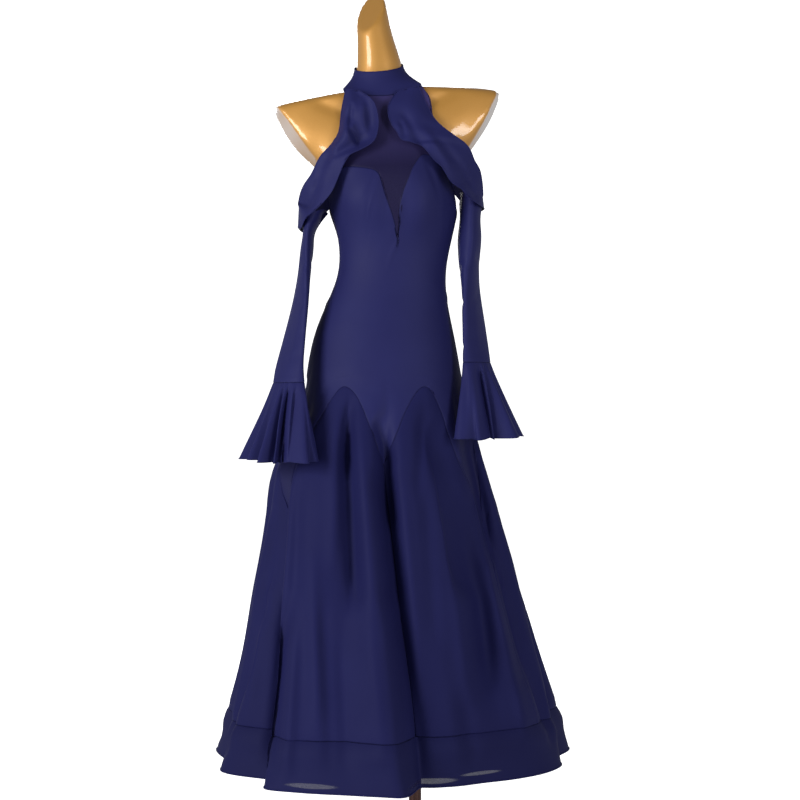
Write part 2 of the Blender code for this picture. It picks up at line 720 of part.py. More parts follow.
# ---------------------------------------------------------------- dress form and stand
# Below the hip and above the shoulders the form has its own sections.
FORM_LOW = ((0.740, -0.058, 0.126, 0.084, 0.104), (0.765, -0.060, 0.141, 0.100, 0.120),
            (0.810, -0.061, 0.150, 0.109, 0.131), (0.870, -0.061, 0.1545, 0.114, 0.137))
FORM_SHOULDERS = (1.214, 1.254, 1.310, 1.352, 1.400, 1.440, 1.464)
FORM_NECK = (
    (1.474, -0.059, 0.232, 0.0540, 0.0610),
    (1.481, -0.061, 0.194, 0.0530, 0.0565),
    (1.487, -0.064, 0.142, 0.0515, 0.0530),
    (1.491, -0.066, 0.094, 0.0500, 0.0510),
    (1.495, -0.068, 0.0670, 0.0480, 0.0495),
    (1.506, -0.070, 0.0560, 0.0455, 0.0470),
    (1.525, -0.0715, 0.0480, 0.0430, 0.0455),
    (1.552, -0.0725, 0.0435, 0.0420, 0.0440),
    (1.594, -0.079, 0.0370, 0.0390, 0.0400),
    (1.634, -0.085, 0.0330, 0.0360, 0.0370),
    (1.674, -0.091, 0.0310, 0.0340, 0.0350),
    (1.740, -0.105, 0.0280, 0.0310, 0.0320),
)
# The arms are cut off flat, from the shoulder's tip in towards the armpit: each cut's distance from
# the centre at each height, and how far it turns to the front, as reach lost for each metre forward.
ARM_CUT = SmoothTable(
    ("left", "right", "left_turn", "right_turn"),
    (
        (1.180, 0.112, 0.112, 0.00, 0.00),
        (1.254, 0.120, 0.120, 0.00, 0.00),
        (1.315, 0.120, 0.122, 0.06, 0.04),
        (1.345, 0.140, 0.150, 0.16, 0.08),
        (1.371, 0.160, 0.172, 0.24, 0.12),
        (1.427, 0.196, 0.205, 0.24, 0.12),
        (1.479, 0.228, 0.232, 0.20, 0.10),
    ),
)
ARM_CUT_LOW, ARM_CUT_HIGH = 1.200, 1.480
FRONT_COLUMNS, CAP_COLUMNS = 6, 4  # in a quarter of the front or back, and across a cut
SIDE_ANGLE = math.radians(72)  # where a ring without cuts turns from its front to its side
NECK_LEVEL, NECK_TILTED = 1.60, 0.10  # the neck's rings are level above, tilted this far below
NECK_CUT_POINT = (-0.088, 0.0, 1.653)
NECK_CUT_NORMAL = (-0.51, -0.653, 0.56)


def cut_angle(half, depth, reach, turn):
    """Where an oval of half width and depth meets an arm's cut, in radians from its middle."""
    low, high = 0.0, SIDE_ANGLE
    for _ in range(24):
        middle = (low + high) / 2
        if half * math.sin(middle) + turn * depth * math.cos(middle) < reach:
            low = middle
        else:
            high = middle
    return low


def form_side(half, front, back, reach, turn):
    """One side of a ring as (x, y) points, from the middle of the front to the middle of the back."""
    near = cut_angle(half, front, reach, turn)
    far = cut_angle(half, back, reach, -turn)
    side = []
    for i in range(FRONT_COLUMNS):
        angle = near * i / FRONT_COLUMNS
        side.append((half * math.sin(angle), -front * math.cos(angle)))
    first = Vector((half * math.sin(near), -front * math.cos(near)))
    last = Vector((half * math.sin(far), back * math.cos(far)))
    for i in range(CAP_COLUMNS + 1):
        share = i / CAP_COLUMNS
        flat = first.lerp(last, share)
        angle = mix(near, math.pi - far, share)
        depth = front if math.cos(angle) > 0 else back
        round_x = half * math.sin(angle)
        if round_x <= reach + turn * flat.y:
            flat = Vector((round_x, -depth * math.cos(angle)))
        side.append(tuple(flat))
    for i in range(FRONT_COLUMNS - 1, 0, -1):
        angle = far * i / FRONT_COLUMNS
        side.append((half * math.sin(angle), back * math.cos(angle)))
    return side


def form_ring(height, centre, half, front, back, tilt_share):
    cut = SimpleNamespace(left=half, right=half, left_turn=0.0, right_turn=0.0)
    if ARM_CUT_LOW < height < ARM_CUT_HIGH:
        cut = ARM_CUT.at(height)
    right = form_side(half, front, back, cut.right, cut.right_turn)
    left = form_side(half, front, back, cut.left, cut.left_turn)
    plan = right + [(0.0, back)] + [(-x, y) for x, y in reversed(left[1:])]
    return [Vector((centre + x, y, height + SHOULDER_TILT * tilt_share * x)) for x, y in plan]


def make_form(finish, parts):
    rings = [form_ring(*row, 0.0) for row in FORM_LOW]
    inset = WALL + FORM_CLEARANCE
    levels = [*BODICE_LEVELS, *FORM_SHOULDERS]
    for level in levels:
        section = SECTIONS.at(level)
        share = ease((level - TILT_START) / (TILT_FULL - TILT_START))
        slack = inset + SHOULDER_SLACK * ease((level - BODICE_LEVELS[-1]) / (ARMPIT - BODICE_LEVELS[-1]))
        ring = form_ring(
            level, section.centre, section.half - slack, section.front - slack, section.back - slack, share
        )
        rings.append(ring)
    rings += [form_ring(*row, ease((NECK_LEVEL - row[0]) / NECK_TILTED)) for row in FORM_NECK]
    mesh = bpy.data.meshes.new("form_body")
    body = bmesh.new()
    loops = [[body.verts.new(point) for point in ring] for ring in rings]
    for low, high in zip(loops, loops[1:]):
        for i in range(len(low)):
            n = (i + 1) % len(low)
            body.faces.new((low[i], low[n], high[n], high[i]))
    body.faces.new(list(reversed(loops[0])))
    body.faces.new(loops[-1])
    cut = bmesh.ops.bisect_plane(
        body,
        geom=[*body.verts, *body.edges, *body.faces],
        plane_co=NECK_CUT_POINT,
        plane_no=NECK_CUT_NORMAL,
        clear_outer=True,
    )
    rim = [item for item in cut["geom_cut"] if isinstance(item, bmesh.types.BMEdge)]
    bmesh.ops.edgeloop_fill(body, edges=rim)
    bmesh.ops.recalc_face_normals(body, faces=body.faces)
    body.to_mesh(mesh)
    body.free()
    mesh.shade_smooth()
    add_object("form_body", mesh, finish, parts)


def turned(name, outline, finish, parts, steps=32):
    """A profile of (radius, height) points from the top down, turned about the pole's axis."""
    mesh = bpy.data.meshes.new(name)
    points = [(radius, 0.0, height) for radius, height in outline]
    mesh.from_pydata(points, [(i, i + 1) for i in range(len(points) - 1)], [])
    made = add_object(name, mesh, finish, parts)
    screw = made.modifiers.new("Turn", "SCREW")
    screw.steps = screw.render_steps = steps
    screw.use_merge_vertices = True
    screw.merge_threshold = 0.0001
    return made


def make_stand(pole_finish, parts):
    edge = 0.003
    foot = BASE_HEIGHT + HUB_HEIGHT
    turned(
        "base",
        (
            (0.0, BASE_HEIGHT), (BASE_RADIUS - edge, BASE_HEIGHT), (BASE_RADIUS, BASE_HEIGHT - edge),
            (BASE_RADIUS, 0.0), (0.0, 0.0),
        ),
        pole_finish,
        parts,
        steps=40,
    )
    low = BASE_HEIGHT + REST_GAP
    top = FORM_BOTTOM - REST_GAP
    turned(
        "pole",
        (
            (0.0, top), (FLANGE_RADIUS, top), (FLANGE_RADIUS, top - FLANGE_HEIGHT),
            (POLE_RADIUS, top - FLANGE_HEIGHT), (POLE_RADIUS, foot), (HUB_RADIUS, foot - edge),
            (HUB_RADIUS, low), (0.0, low),
        ),
        pole_finish,
        parts,
        steps=24,
    )


def main():
    for old in list(bpy.data.objects):
        bpy.data.objects.remove(old)
    parts = collection("ballroom_dance_dress")
    crepe = material("navy_crepe", (0.028, 0.031, 0.12), 0.65)
    georgette = material("navy_georgette", (0.020, 0.021, 0.09), 0.75)
    net = material("navy_net", (0.030, 0.024, 0.08), 0.70)
    gold = material("gold_lacquer", (0.58, 0.30, 0.06), 0.28, 0.8)
    bronze = material("bronze_steel", (0.10, 0.07, 0.06), 0.35, 0.9)
    make_collar(crepe, parts)
    make_yoke(net, parts)
    make_bodice(crepe, parts)
    make_gores(georgette, parts)
    make_hem_band(georgette, parts)
    make_underskirt(georgette, parts)
    for side in ("left", "right"):
        make_sleeve(side, crepe, parts)
        make_cuff(side, crepe, parts)
        make_ruffle(side, crepe, parts)
    make_form(gold, parts)
    make_stand(bronze, parts)


main()
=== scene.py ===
"""A ballroom dance dress on a gold dress form: finished cloth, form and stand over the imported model."""

import math

import bmesh
import bpy
import numpy as np
from mathutils import Matrix, Vector
from mathutils.bvhtree import BVHTree
from mathutils.kdtree import KDTree


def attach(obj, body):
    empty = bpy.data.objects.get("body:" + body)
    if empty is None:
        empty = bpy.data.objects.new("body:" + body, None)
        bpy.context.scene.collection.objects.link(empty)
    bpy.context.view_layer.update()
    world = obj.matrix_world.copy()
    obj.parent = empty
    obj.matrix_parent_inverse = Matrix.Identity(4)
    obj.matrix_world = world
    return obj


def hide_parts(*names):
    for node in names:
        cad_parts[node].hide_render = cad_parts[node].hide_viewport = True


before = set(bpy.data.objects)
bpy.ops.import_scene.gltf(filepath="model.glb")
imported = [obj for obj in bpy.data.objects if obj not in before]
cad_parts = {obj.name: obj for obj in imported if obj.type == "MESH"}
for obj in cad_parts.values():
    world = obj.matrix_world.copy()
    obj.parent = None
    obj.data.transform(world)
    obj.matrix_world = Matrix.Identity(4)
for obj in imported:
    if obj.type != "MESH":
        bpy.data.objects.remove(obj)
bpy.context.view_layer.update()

MM = 0.001
CLOTH = 0.0007  # how thick the finished cloth is
MIDLINE = Vector((-0.058, 0.0, 0.0))  # the body's upright centre line
WALL_EDGE = 2.1 * MM  # the solids' walls are thinner than this, and no other edge is as short
WELD = 0.02 * MM  # points of a solid nearer than this are one point
FIT_ROUNDS = 4  # how often a rounded surface is set back on the points of its cage

# Heights, from the floor
BUST = 1.15  # above this height the bodice laps over the yoke
SIDE_POINT_TOP = 0.80  # the bodice's low points at the sides are below this
HIP = 0.70  # above this height a gore's top edge is sewn to the bodice
HEM_SEAM = 0.25  # the seam between the gores and the hem band

# Seams
SEAM_WIDTH = 1.5 * MM  # the strip along an edge that a seam draws in
SEAM_REACH = 0.35 * MM  # how far an edge reaches towards its neighbour
SEAM_SINK = 0.45 * MM  # how deep it is drawn in
SEAM_SHADE = 0.5  # how far the cloth in a sunk seam is darkened, as painted shade for its groove
STITCH_REACH = 5 * MM  # a gore's edge this near to the bodice or the hem band is sewn to it
HIP_LAP = 2.2  # how many times further the gores reach under the bodice than under each other
SIDE_POINT_OUT = 0.145  # the bodice's low points at the sides are further from the middle than this
SIDE_POINT_BLEND = 0.03  # the height over which they take the skirt's colour


# ---------------------------------------------------------------- colours and material nodes
COLOURS = {"data_type": "RGBA"}


def linear(code):
    """An sRGB hex colour as a linear RGBA."""
    values = [int(code[i : i + 2], 16) / 255 for i in (1, 3, 5)]
    return (*[v / 12.92 if v <= 0.04045 else ((v + 0.055) / 1.055) ** 2.4 for v in values], 1.0)


def add(tree, kind, settings=None, **sockets):
    """Adds a node. A socket takes a value, or the output of another node. i3 is the input numbered 3."""
    made = tree.nodes.new("ShaderNode" + kind)
    for key, value in (settings or {}).items():
        setattr(made, key, value)
    for key, value in sockets.items():
        socket = made.inputs[int(key[1:]) if key[1:].isdigit() else key]
        if isinstance(value, bpy.types.NodeSocket):
            tree.links.new(value, socket)
        else:
            socket.default_value = value
    return made


def start(name):
    """A new material: itself, its node tree, the place on the piece, and its surface."""
    made = bpy.data.materials.new(name)
    made.use_nodes = True
    tree = made.node_tree
    tree.nodes.clear()
    place = add(tree, "TexCoord").outputs["Object"]
    surface = add(tree, "BsdfPrincipled")
    out = add(tree, "OutputMaterial")
    tree.links.new(surface.outputs["BSDF"], out.inputs["Surface"])
    return made, tree, place, surface


def join(tree, source, surface, socket):
    tree.links.new(source, surface.inputs[socket])


def crepe():
    """Stretch crepe, knitted from twisted polyester: a matt, pebbled face that greys when seen edge-on."""
    made, tree, place, surface = start("navy_stretch_crepe")
    # The pebble is 0.5 mm across, drawn at 1.4 mm so that it shows.
    pebble = add(tree, "TexNoise", Vector=place, Scale=1 / (1.4 * MM), Detail=2.0, Roughness=0.6)
    cloudy = add(tree, "TexNoise", Vector=place, Scale=1 / (90 * MM), Detail=2.0)
    dye_and_painted_light = add(tree, "Mix", COLOURS, i0=cloudy.outputs["Fac"], i6=linear("#1f2052"), i7=linear("#25275b"))
    point = add(tree, "Attribute", {"attribute_name": "point"})
    darker = add(tree, "Mix", COLOURS, i0=point.outputs["Fac"], i6=dye_and_painted_light.outputs[2], i7=linear("#1b1c4a"))
    # Painted shade: the cloth along a sunk seam is darkened, standing in for the shade in its groove.
    painted_seam_shade = add(tree, "Attribute", {"attribute_name": "painted_seam_shade"})
    shaded = add(tree, "Mix", COLOURS, i0=painted_seam_shade.outputs["Fac"], i6=darker.outputs[2], i7=linear("#0c0d26"))
    join(tree, shaded.outputs[2], surface, "Base Color")
    bump = add(tree, "Bump", Strength=0.3, Distance=0.3 * MM, Height=pebble.outputs["Fac"])
    join(tree, bump.outputs["Normal"], surface, "Normal")
    surface.inputs["Roughness"].default_value = 0.62
    surface.inputs["Specular IOR Level"].default_value = 0.14
    surface.inputs["Sheen Weight"].default_value = 0.05
    surface.inputs["Sheen Roughness"].default_value = 0.5
    surface.inputs["Sheen Tint"].default_value = linear("#6a6ab0")
    return made


SHEER_ALPHA = 0.77  # how much the hem still covers where light comes through
# Where the single layer of the hem lets light through: centre and half sizes
SHEER_SPOTS = (
    ((-0.192, -0.335, 0.172), (0.056, 0.20, 0.0055)),
    ((0.032, -0.300, 0.171), (0.052, 0.30, 0.0062)),
    ((0.122, -0.300, 0.178), (0.046, 0.30, 0.0040)),
    ((-0.330, 0.100, 0.174), (0.08, 0.09, 0.0055)),
    ((-0.040, 0.330, 0.172), (0.09, 0.08, 0.0065)),
)


def georgette(name="navy_georgette", deep="#191a47", pale="#1f2152", spots=()):
    """Polyester georgette: a thin, grainy weave of hard-twisted yarn, matt and darker than the crepe."""
    made, tree, place, surface = start(name)
    # The yarns are 0.3 mm apart, drawn at 1.6 mm so that their grain shows.
    grain = add(tree, "TexNoise", Vector=place, Scale=1 / (1.6 * MM), Detail=2.0, Roughness=0.7)
    cloudy = add(tree, "TexNoise", Vector=place, Scale=1 / (140 * MM), Detail=2.0)
    dye_and_painted_light = add(tree, "Mix", COLOURS, i0=cloudy.outputs["Fac"], i6=linear(deep), i7=linear(pale))
    # Painted shade: the cloth along a sunk seam is darkened, standing in for the shade in its groove.
    painted_seam_shade = add(tree, "Attribute", {"attribute_name": "painted_seam_shade"})
    shaded = add(tree, "Mix", COLOURS, i0=painted_seam_shade.outputs["Fac"], i6=dye_and_painted_light.outputs[2], i7=linear("#0a0a1e"))
    join(tree, shaded.outputs[2], surface, "Base Color")
    bump = add(tree, "Bump", Strength=0.3, Distance=0.3 * MM, Height=grain.outputs["Fac"])
    join(tree, bump.outputs["Normal"], surface, "Normal")
    clear = None
    for centre, radii in spots:
        shift, size = [-c / r for c, r in zip(centre, radii)], [1 / r for r in radii]
        spot = add(tree, "Mapping", Vector=place, Location=shift, Scale=size)
        off = add(tree, "VectorMath", {"operation": "LENGTH"}, i0=spot.outputs["Vector"])
        inside = add(tree, "MapRange", Value=off.outputs["Value"], i1=0.7, i2=1.0, i3=SHEER_ALPHA, i4=1.0)
        here = inside.outputs["Result"]
        if clear:
            here = add(tree, "Math", {"operation": "MINIMUM"}, i0=clear, i1=here).outputs["Value"]
        clear = here
    if clear:
        join(tree, clear, surface, "Alpha")
    surface.inputs["Roughness"].default_value = 0.7
    surface.inputs["Specular IOR Level"].default_value = 0.10
    surface.inputs["Sheen Weight"].default_value = 0.03
    surface.inputs["Sheen Roughness"].default_value = 0.5
    surface.inputs["Sheen Tint"].default_value = linear("#6a6ab0")
    return made


def net():
    """Fine stretch net: knitted holes under a millimetre wide, which let a little of the form's gold through.
    Its colour is painted paler upwards from the V to the collar, as painted light where the collar and
    ruffles shade it."""
    made, tree, place, surface = start("navy_stretch_net")
    # The holes are 0.8 mm wide, drawn at 2.2 mm so that they show.
    cells = add(tree, "TexVoronoi", Vector=place, Scale=1 / (2.2 * MM))
    # The holes cover a little less than the threads round them.
    alpha = add(tree, "MapRange", Value=cells.outputs["Distance"], i1=0.2, i2=0.7, i3=0.91, i4=0.955)
    join(tree, alpha.outputs["Result"], surface, "Alpha")
    # Painted light: the net's colour pales towards the collar, standing in for light that the collar and
    # ruffles keep off it.
    height = add(tree, "SeparateXYZ", Vector=place).outputs["Z"]
    rise = add(tree, "MapRange", Value=height, i1=1.33, i2=1.45)
    dye_and_painted_light = add(tree, "Mix", COLOURS, i0=rise.outputs["Result"], i6=linear("#1b173c"), i7=linear("#393366"))
    join(tree, dye_and_painted_light.outputs[2], surface, "Base Color")
    surface.inputs["Roughness"].default_value = 0.6
    surface.inputs["Specular IOR Level"].default_value = 0.16
    surface.inputs["Sheen Weight"].default_value = 0.10
    surface.inputs["Sheen Tint"].default_value = linear("#6a5cc0")
    return made


def lining():
    """Woven polyester lining: plain, dark, with a faint soft shine."""
    made, tree, place, surface = start("navy_lining")
    # The threads are 0.1 mm thick, drawn at 2 mm so that they show.
    grain = add(tree, "TexNoise", Vector=place, Scale=1 / (2.0 * MM), Detail=1.0)
    bump = add(tree, "Bump", Strength=0.15, Distance=0.2 * MM, Height=grain.outputs["Fac"])
    join(tree, bump.outputs["Normal"], surface, "Normal")
    surface.inputs["Base Color"].default_value = linear("#141334")
    surface.inputs["Roughness"].default_value = 0.6
    surface.inputs["Specular IOR Level"].default_value = 0.12
    return made


def gold():
    """Gold lacquer, sprayed on a smooth glass-fibre shell: metallic flake under a clear, glossy coat. The
    flat arm cuts are paler, greyer and less metallic."""
    made, tree, place, surface = start("gold_lacquer")
    # The flakes are 0.05 mm across, drawn at 1.5 mm so that they show.
    flake = add(tree, "TexNoise", Vector=place, Scale=1 / (1.5 * MM), Detail=1.0)
    wave = add(tree, "TexNoise", Vector=place, Scale=1 / (60 * MM), Detail=1.0)
    mixed = add(tree, "Mix", COLOURS, i0=flake.outputs["Fac"], i6=linear("#c48b3a"), i7=linear("#cc9748"))
    # The arm cuts' pale colour varies a little from place to place.
    plate_mottle = add(tree, "TexNoise", Vector=place, Scale=1 / (4 * MM), Detail=2.0)
    plate = add(tree, "Mix", COLOURS, i0=plate_mottle.outputs["Fac"], i6=linear("#e4d6cf"), i7=linear("#f0e6e0"))
    cut = add(tree, "Attribute", {"attribute_name": "cut"})
    colour = add(tree, "Mix", COLOURS, i0=cut.outputs["Fac"], i6=mixed.outputs[2], i7=plate.outputs[2])
    join(tree, colour.outputs[2], surface, "Base Color")
    metal = add(tree, "MapRange", Value=cut.outputs["Fac"], i3=0.34, i4=0.08)
    join(tree, metal.outputs["Result"], surface, "Metallic")
    bump = add(tree, "Bump", Strength=0.10, Distance=0.5 * MM, Height=wave.outputs["Fac"])
    join(tree, bump.outputs["Normal"], surface, "Normal")
    surface.inputs["Roughness"].default_value = 0.50
    surface.inputs["Coat Weight"].default_value = 0.9
    surface.inputs["Coat Roughness"].default_value = 0.10
    return made


def bronze():
    """Steel with a dark bronze finish, brushed and lacquered: fine scratches round a soft shine."""
    made, tree, place, surface = start("dark_bronze_steel")
    # The scratches are 0.1 mm wide, drawn at 3 mm so that they show.
    scratch = add(tree, "TexNoise", Vector=place, Scale=1 / (3 * MM), Detail=2.0)
    rough = add(tree, "MapRange", Value=scratch.outputs["Fac"], i3=0.28, i4=0.46)
    join(tree, rough.outputs["Result"], surface, "Roughness")
    surface.inputs["Base Color"].default_value = linear("#5c443f")
    surface.inputs["Metallic"].default_value = 0.9
    return made


CREPE = crepe()
GEORGETTE = georgette()
SHEER_HEM = georgette("sheer_georgette_hem", "#171842", "#1d1f4d", SHEER_SPOTS)
NET = net()
LINING = lining()
GOLD = gold()
BRONZE = bronze()


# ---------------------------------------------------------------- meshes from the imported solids
def merged_copy(node):
    """A solid's mesh, whose triangles are loose, with its points joined."""
    solid = bmesh.new()
    solid.from_mesh(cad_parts[node].data)
    bmesh.ops.remove_doubles(solid, verts=solid.verts, dist=WELD)
    return solid


QUAD_SKEW = math.radians(120)  # how far a joined face may be from a rectangle


def in_quads(shape, fold=60):
    """Joins triangles in pairs, unless they meet at a sharper fold than this many degrees."""
    bmesh.ops.join_triangles(
        shape,
        faces=shape.faces,
        angle_face_threshold=math.radians(fold),
        angle_shape_threshold=QUAD_SKEW,
    )
    return shape


def outside_of(node):
    """The outer face of a cloth's wall: the rims go, and of the wall's two faces the outward one stays."""
    cloth = merged_copy(node)
    rims = [f for f in cloth.faces if min(e.calc_length() for e in f.edges) < WALL_EDGE]
    bmesh.ops.delete(cloth, geom=rims, context="FACES_ONLY")
    bmesh.ops.delete(cloth, geom=[e for e in cloth.edges if not e.link_faces], context="EDGES")
    middle = sum((v.co for v in cloth.verts), Vector()) / len(cloth.verts)
    if not node.startswith(("sleeve", "cuff")):
        middle = Vector((MIDLINE.x, MIDLINE.y, middle.z))
    left = dict.fromkeys(cloth.faces)
    sides = []
    while left:
        group, reach = [], [left.popitem()[0]]
        while reach:
            face = reach.pop()
            group.append(face)
            for edge in face.edges:
                for other in edge.link_faces:
                    if other in left:
                        del left[other]
                        reach.append(other)
        outward = sum(f.calc_area() * f.normal.dot(f.calc_center_median() - middle) for f in group)
        sides.append((outward, group))
    outer = max(sides, key=lambda side: side[0])
    inner = [face for side in sides if side is not outer for face in side[1]]
    bmesh.ops.delete(cloth, geom=inner, context="FACES")
    return in_quads(cloth)


def smoothed(name, cage, levels):
    """A finely divided object that still passes through every point of its cage."""
    mesh = bpy.data.meshes.new(name)
    cage.to_mesh(mesh)
    cage.free()
    piece = bpy.data.objects.new(name, mesh)
    bpy.context.scene.collection.objects.link(piece)
    finer = piece.modifiers.new("Finer", "SUBSURF")
    finer.levels = finer.render_levels = levels
    finer.boundary_smooth = "PRESERVE_CORNERS"
    goal = [v.co.copy() for v in mesh.vertices]
    for _ in range(FIT_ROUNDS):
        bpy.context.view_layer.update()
        shown = piece.evaluated_get(bpy.context.evaluated_depsgraph_get()).data
        now = [shown.vertices[i].co.copy() for i in range(len(goal))]
        for vertex, wanted, found in zip(mesh.vertices, goal, now):
            vertex.co += wanted - found
    bpy.context.view_layer.update()
    fine = bpy.data.meshes.new_from_object(piece.evaluated_get(bpy.context.evaluated_depsgraph_get()))
    fine.name = name
    piece.modifiers.clear()
    piece.data = fine
    bpy.data.meshes.remove(mesh)
    fine.shade_smooth()
    return piece


# ---------------------------------------------------------------- folds, seams and hems
def clamp(share):
    """A share, kept between 0 and 1."""
    return min(max(share, 0.0), 1.0)


def near_line(point, start, end):
    """How far a point is from a line between two others, and how far along it: 0 to 1 between its ends."""
    run = (end[0] - start[0], end[1] - start[1])
    share = ((point[0] - start[0]) * run[0] + (point[1] - start[1]) * run[1]) / (run[0] ** 2 + run[1] ** 2)
    held = clamp(share)
    return math.hypot(point[0] - start[0] - held * run[0], point[1] - start[1] - held * run[1]), share


# A fold runs on past both ends of its line, and starts and fades over these shares of its length
RUN_ON, RUN_IN, RUN_OUT = 0.2, 0.4, 0.35
FOLD_SPREAD = 3  # past this many half widths from its line a fold is nothing
EDGE_ON = 0.05  # cloth that faces the view by less than this is left alone
FACING_GAIN = 3  # how fast cloth takes the whole fold as it turns to the view
VIEWS = {"front": (0, -1), "back": (0, 1), "left": (1, -1), "right": (1, 1)}  # the axis across, and the side


def crease(piece, lines):
    """Presses soft troughs into a piece. Each line is drawn as seen from one side of the dress."""
    moves = [Vector() for _ in piece.data.vertices]
    normals = [v.normal.copy() for v in piece.data.vertices]
    for side, start, end, width, depth in lines:
        axis, sign = VIEWS[side]
        inwards = Vector((0.0, -sign, 0.0)) if axis == 0 else Vector((-sign, 0.0, 0.0))
        for i, vertex in enumerate(piece.data.vertices):
            facing = normals[i][1 - axis] * sign
            if facing < EDGE_ON:
                continue
            off, share = near_line((vertex.co[axis], vertex.co.z), start, end)
            if off > FOLD_SPREAD * width or not -RUN_ON < share < 1.0 + RUN_ON:
                continue
            ends = clamp((share + RUN_ON) / RUN_IN) * clamp((1.0 + RUN_ON - share) / RUN_OUT)
            amount = depth * math.exp(-((off / width) ** 2)) * ends * min(facing * FACING_GAIN, 1.0)
            moves[i] += inwards * amount
    for vertex, move in zip(piece.data.vertices, moves):
        vertex.co += move


def border_tree(pieces):
    """The points along the open edges of some pieces, for finding what is sewn to them."""
    points = []
    for piece in pieces:
        cloth = bmesh.new()
        cloth.from_mesh(piece.data)
        points += [v.co.copy() for v in cloth.verts if v.is_boundary]
        cloth.free()
    tree = KDTree(len(points))
    for i, point in enumerate(points):
        tree.insert(point, i)
    tree.balance()
    return tree


def at_side_point(point):
    """Whether a point is by one of the bodice's low points at the sides, which take the skirt's colour."""
    return point.z < SIDE_POINT_TOP and abs(point.x - MIDLINE.x) > SIDE_POINT_OUT


def sew(piece, is_hem, drawn, reach=SEAM_REACH, sink=SEAM_SINK, more_on_top=0.0):
    """Gives a piece its edge. A hem stays as it is, and a seam reaches over the gap to its neighbour. With
    drawn, only a seam near those points sinks to a groove, and without it the whole seam does. A sunk seam's
    cloth is darkened with painted shade."""
    cloth = bmesh.new()
    cloth.from_mesh(piece.data)
    bmesh.ops.inset_region(cloth, faces=cloth.faces, thickness=SEAM_WIDTH, use_boundary=True)
    cloth.normal_update()
    layer = cloth.verts.layers.float.new("painted_seam_shade")
    moves = {}
    for vertex in cloth.verts:
        if not vertex.is_boundary:
            continue
        inside = [e.other_vert(vertex).co for e in vertex.link_edges if not e.is_boundary]
        if is_hem(vertex.co) or not inside:
            continue
        outward = vertex.co - sum(inside, Vector()) / len(inside)
        moves[vertex] = outward.normalized() * (reach + more_on_top * (vertex.co.z > BUST))
        stitched = drawn is None or drawn.find(vertex.co)[2] < STITCH_REACH
        if drawn and stitched and vertex.co.z > HIP:
            moves[vertex] *= HIP_LAP
        if stitched:
            # Painted shade for the seam's groove, left off at the bodice's low side points.
            vertex[layer] = 0.0 if at_side_point(vertex.co) else SEAM_SHADE
            moves[vertex] -= vertex.normal * sink
    for vertex, move in moves.items():
        vertex.co += move
    if piece.name.startswith("cloth_bodice"):
        layer = cloth.verts.layers.float.new("point")
        for vertex in cloth.verts:
            if at_side_point(vertex.co):
                vertex[layer] = min((SIDE_POINT_TOP - vertex.co.z) / SIDE_POINT_BLEND, 1.0)
    cloth.to_mesh(piece.data)
    cloth.free()
    piece.data.shade_smooth()


def border_loops(piece, belongs):
    """The open edges of a piece whose points belong, as runs of points; closed runs repeat their first."""
    cloth = bmesh.new()
    cloth.from_mesh(piece.data)
    left = dict.fromkeys(e for e in cloth.edges if e.is_boundary and all(belongs(v.co) for v in e.verts))
    runs = []
    while left:
        first = left.popitem()[0]
        run = [first.verts[0], first.verts[1]]
        for end in (1, 0):
            while True:
                tip = run[-1] if end else run[0]
                step = next((e for e in tip.link_edges if e in left), None)
                if step is None:
                    break
                del left[step]
                run.insert(len(run) if end else 0, step.other_vert(tip))
        runs.append([v.co.copy() for v in run])
    cloth.free()
    return runs


ROLL_ROUND = 2  # how finely a roll of cloth is rounded
SAME = 0.001 * MM  # the ends of a run nearer than this are one point


def roll_along(name, runs, radius, material):
    """A fine roll of cloth along each run of points."""
    curve = bpy.data.curves.new(name, "CURVE")
    curve.dimensions = "3D"
    curve.bevel_depth = radius
    curve.bevel_resolution = ROLL_ROUND
    curve.use_fill_caps = True
    for run in runs:
        closed = (run[0] - run[-1]).length < SAME
        points = run[:-1] if closed else run
        spline = curve.splines.new("POLY")
        spline.points.add(len(points) - 1)
        for spot, place in zip(spline.points, points):
            spot.co = (*place, 1.0)
        spline.use_cyclic_u = closed
    drawn = bpy.data.objects.new(name, curve)
    bpy.context.scene.collection.objects.link(drawn)
    bpy.context.view_layer.update()
    mesh = bpy.data.meshes.new_from_object(drawn.evaluated_get(bpy.context.evaluated_depsgraph_get()))
    bpy.data.objects.remove(drawn)
    bpy.data.curves.remove(curve)
    mesh.shade_smooth()
    mesh.materials.clear()
    mesh.materials.append(material)
    piece = bpy.data.objects.new(name, mesh)
    bpy.context.scene.collection.objects.link(piece)
    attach(piece, "root")


def finish_cloth(piece, node, material, slot, **sheet):
    piece.data.materials.clear()
    piece.data.materials.append(material)
    wall = piece.modifiers.new("Cloth", "SOLIDIFY")
    wall.thickness = CLOTH
    wall.offset = -1.0
    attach(piece, "root")
    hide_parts(node)


